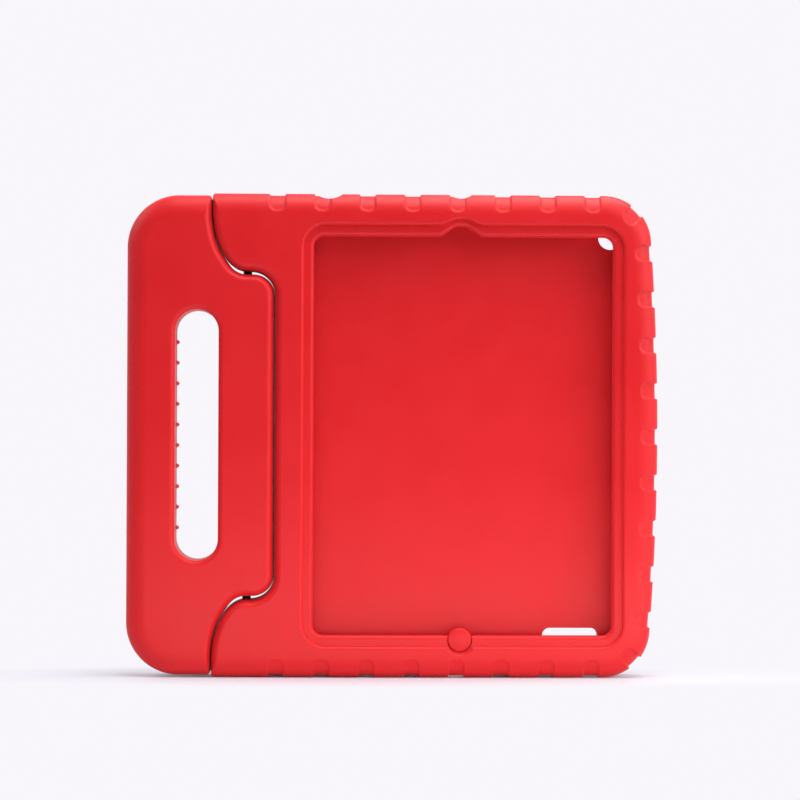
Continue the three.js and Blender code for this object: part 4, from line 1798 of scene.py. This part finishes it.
@dataclass(frozen=True)
class PressPad:
    """The round foam pad under the window that presses the tablet's button."""

    body: CaseBody
    dome: float = 0.7 * MM
    dome_steps: int = 12
    edge_round: float = 1.1 * MM
    flange_corner: float = 0.1 * MM

    def build(self, material: bpy.types.Material) -> bpy.types.Object:
        """Builds and dresses the pad with its half flange.

        Args:
            material: Foam to dress it in.

        Returns:
            The finished piece.
        """
        body = self.body
        layout = body.layout
        radius = body.pad_radius
        face = radius - self.edge_round
        rim = body.lip_front
        back = body.pocket_front - body.pad_travel
        centre = (layout.fittings_shift, 0.0, body.pad_z)
        shares = np.linspace(0, 1, self.dome_steps, endpoint=False)
        dome = [(face * t, rim - self.dome * (1 - t**2)) for t in shares]
        edge = [
            (radius - inset, rim + depth)
            for depth, inset in quarter_round(self.edge_round, self.edge_round)
        ]
        profile = [*dome, *edge, (radius, back), (0, back)]
        pad = turned("home_button_pad", profile, Axis.Y, centre)
        width = radius + body.pad_flange_width
        flange = plug(Axis.Y, back - body.pad_flange_thickness, back, width, centre)
        high = rectangle(
            layout.fittings_shift, body.pad_z + width, 2 * width, width, self.flange_corner
        )
        combine(flange, loft("upper_half", high, layout.through()), Cut.TAKE)
        combine(pad, flange, Cut.JOIN)
        layout.place(pad)
        finish_shading(pad, material)
        return pad


@dataclass(frozen=True)
class SoftLight:
    """A rectangular lamp: where it stands, what it faces, its size and its power in watts."""

    name: str
    place: tuple[float, float, float]
    aim: tuple[float, float, float]
    size: tuple[float, float]
    power: float


@dataclass(frozen=True)
class Studio:
    """A white table in soft light, with the camera level in front of the case."""

    distance: float = 1.5
    side_turn: float = math.radians(1.6)
    roll: float = math.radians(-0.25)
    aim: tuple[float, float] = (0.004, 0.1357)
    lens: float = 125.25
    shift_y: float = 0.0302
    floor_size: float = 12.0
    floor_colour: tuple[float, float, float] = (0.73, 0.76, 0.84)
    backdrop: tuple[float, float, float] = (0.945, 0.918, 0.97)
    floor_roughness: tuple[float, float] = (0.42, 0.48)
    floor_grain: float = 30.0
    floor_specular: float = 0.25
    white: float = 1.0
    fill: tuple[float, float] = (0.12, 0.5)
    room_edge: tuple[float, float] = (-0.35, 0.25)
    bare_radius: tuple[float, float] = (0.015, 0.075)
    bare_squeeze: float = 0.25
    lights: tuple[SoftLight, ...] = (
        SoftLight("overhead", (0.16, -0.12, 0.9), (0.0, 0.0, 0.1), (0.8, 0.5), 7.4),
        SoftLight("front_high", (0.55, -0.75, 0.75), (0.06, 0.0, 0.12), (0.6, 0.4), 1.9),
        SoftLight("left_high", (-0.8, -0.15, 0.75), (0.0, 0.0, 0.15), (0.5, 0.5), 2.0),
        SoftLight("right_high", (0.8, -0.35, 0.45), (0.05, 0.0, 0.14), (0.5, 0.5), 3.0),
        SoftLight("table_bounce", (0.12, -0.15, 0.006), (0.1, 0.0, 0.05), (0.6, 0.07), 0.4),
    )

    def camera(self) -> None:
        """Puts the camera level with the middle of the case."""
        data = bpy.data.cameras.new("camera")
        data.lens = self.lens
        data.shift_y = self.shift_y
        camera = bpy.data.objects.new("camera", data)
        x, z = self.aim
        back, left = math.cos(self.side_turn), math.sin(self.side_turn)
        camera.location = (x - self.distance * left, -self.distance * back, z)
        camera.rotation_euler = (math.pi / 2, self.roll, -self.side_turn)
        bpy.context.scene.collection.objects.link(camera)
        bpy.context.scene.camera = camera

    @staticmethod
    def seen(nodes: NodeTree) -> bpy.types.NodeSocket:
        """Says whether a ray comes from the camera or from a shiny or clear surface.

        Args:
            nodes: Tree of the material.

        Returns:
            One where it does, and zero elsewhere.
        """
        path = nodes.add("ShaderNodeLightPath").outputs
        rays = nodes.math("ADD", path["Is Camera Ray"], path["Is Glossy Ray"])
        both = nodes.math("ADD", rays, path["Is Transmission Ray"])
        return nodes.math("MINIMUM", both, 1.0)

    def world(self) -> None:
        """Makes the room: seen white, bright behind the case and dim in front of it."""
        world = bpy.data.worlds.new("studio")
        world.use_nodes = True
        nodes = NodeTree(world.node_tree)
        path = nodes.add("ShaderNodeLightPath").outputs
        place = nodes.add("ShaderNodeTexCoord").outputs["Generated"]
        way = nodes.add("ShaderNodeSeparateXYZ", {"Vector": place})
        front, back = self.room_edge
        behind = nodes.add(
            "ShaderNodeMapRange",
            {"Value": way.outputs["Y"], "From Min": front, "From Max": back},
            interpolation_type="SMOOTHSTEP",
        ).outputs["Result"]
        shiny = nodes.math("ADD", path["Is Glossy Ray"], path["Is Transmission Ray"])
        level = nodes.math("MAXIMUM", path["Is Camera Ray"], nodes.math("MULTIPLY", shiny, behind))
        fill = nodes.add(
            "ShaderNodeMapRange", {"Value": behind, "To Min": self.fill[0], "To Max": self.fill[1]}
        ).outputs["Result"]
        strength = nodes.add(
            "ShaderNodeMapRange", {"Value": level, "To Min": fill, "To Max": self.white}
        )
        background = world.node_tree.nodes["Background"]
        background.inputs["Color"].default_value = (*self.backdrop, 1.0)
        world.node_tree.links.new(strength.outputs["Result"], background.inputs["Strength"])
        bpy.context.scene.world = world

    def floor(self) -> bpy.types.Object:
        """Makes the table.

        Returns:
            A wide plane with a faintly uneven satin surface.
        """
        half = self.floor_size / 2
        corners = np.array([[-half, -half, 0], [half, -half, 0], [half, half, 0], [-half, half, 0]])
        floor = new_object("table", corners, [(0, 1, 2, 3)])
        material = bpy.data.materials.new("white_table")
        material.use_nodes = True
        nodes = NodeTree(material.node_tree)
        shader = material.node_tree.nodes["Principled BSDF"]
        place = nodes.add("ShaderNodeTexCoord").outputs["Object"]
        noise = nodes.add(
            "ShaderNodeTexNoise", {"Vector": place, "Scale": self.floor_grain, "Detail": 3.0}
        )
        rough = nodes.add(
            "ShaderNodeMapRange",
            {
                "Value": noise.outputs["Fac"],
                "To Min": self.floor_roughness[0],
                "To Max": self.floor_roughness[1],
            },
        )
        material.node_tree.links.new(rough.outputs["Result"], shader.inputs["Roughness"])
        shader.inputs["Base Color"].default_value = (*self.floor_colour, 1.0)
        shader.inputs["Specular IOR Level"].default_value = self.floor_specular
        squeezed = nodes.add(
            "ShaderNodeVectorMath",
            {0: place, 1: (self.bare_squeeze, 1.0, 1.0)},
            operation="MULTIPLY",
        ).outputs["Vector"]
        away = nodes.add(
            "ShaderNodeVectorMath", {"Vector": squeezed}, operation="LENGTH"
        ).outputs["Value"]
        fade = nodes.add(
            "ShaderNodeMapRange",
            {"Value": away, "From Min": self.bare_radius[0], "From Max": self.bare_radius[1]},
            interpolation_type="SMOOTHSTEP",
        ).outputs["Result"]
        backdrop = nodes.add("ShaderNodeEmission", {"Color": (*self.backdrop, 1.0)})
        share = nodes.math("MULTIPLY", fade, self.seen(nodes))
        mixed = nodes.add(
            "ShaderNodeMixShader",
            {0: share, 1: shader.outputs["BSDF"], 2: backdrop.outputs["Emission"]},
        )
        output = material.node_tree.nodes["Material Output"]
        material.node_tree.links.new(mixed.outputs["Shader"], output.inputs["Surface"])
        floor.data.materials.append(material)
        return floor

    def light(self, soft: SoftLight) -> None:
        """Adds a soft light.

        Args:
            soft: Its place, aim, size and power.
        """
        data = bpy.data.lights.new(soft.name, "AREA")
        data.shape = "RECTANGLE"
        data.size, data.size_y = soft.size
        data.energy = soft.power
        light = bpy.data.objects.new(soft.name, data)
        light.location = soft.place
        way = Vector(soft.aim) - light.location
        light.rotation_euler = way.to_track_quat("-Z", "Y").to_euler()
        bpy.context.scene.collection.objects.link(light)

    def build(self) -> None:
        """Sets up the camera, the table, the backdrop and the lights."""
        self.camera()
        self.world()
        self.floor()
        for soft in self.lights:
            self.light(soft)
        bpy.context.scene.view_settings.view_transform = "Standard"


def stand_for(piece: bpy.types.Object, node: str, body: Body) -> None:
    """Lets a finished piece stand for a node of the frame, and reports it.

    Args:
        piece: The finished piece.
        node: Node that it stands for.
        body: Body that it moves with.
    """
    piece.name = node + "_finished"
    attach(piece, body.value)
    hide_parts(node)
    piece.data.calc_loop_triangles()
    LOG.info("%s: %d triangles", node, len(piece.data.loop_triangles))


def main() -> None:
    """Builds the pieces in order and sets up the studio."""
    logging.basicConfig(level=logging.INFO, format="%(message)s")
    foam = MouldedFinish(
        name="red_moulded_foam",
        light=(0.715, 0.0065, 0.0105),
        deep=(0.69, 0.0055, 0.009),
        roughness=(0.4, 0.52),
        specular=0.34,
        bump=0.35,
        grain_scale=1500.0,
        pore_scale=800.0,
        mottle_scale=40.0,
        sheen=0.06,
    ).material()
    nylon = MouldedFinish(
        name="black_moulded_nylon",
        light=(0.022, 0.022, 0.024),
        deep=(0.014, 0.014, 0.015),
        roughness=(0.38, 0.5),
        specular=0.5,
        bump=0.12,
        grain_scale=2600.0,
        pore_scale=1900.0,
        mottle_scale=220.0,
    ).material()
    layout = Layout()
    hinge = HingeSet(layout)
    case = CaseBody(layout, hinge)
    stand_for(case.build(foam), "case_body", Body.CASE)
    stand_for(Handle(layout, hinge).build(foam), "handle", Body.HANDLE)
    stand_for(PressPad(case).build(foam), "home_button_pad", Body.BUTTON)
    for upper, end in ((True, "upper"), (False, "lower")):
        pin, bush = hinge.build(upper, nylon)
        stand_for(pin, f"hinge_pin_{end}", Body.CASE)
        stand_for(bush, f"hinge_bush_{end}", Body.HANDLE)
    Studio().build()


if __name__ == "__main__":
    main()
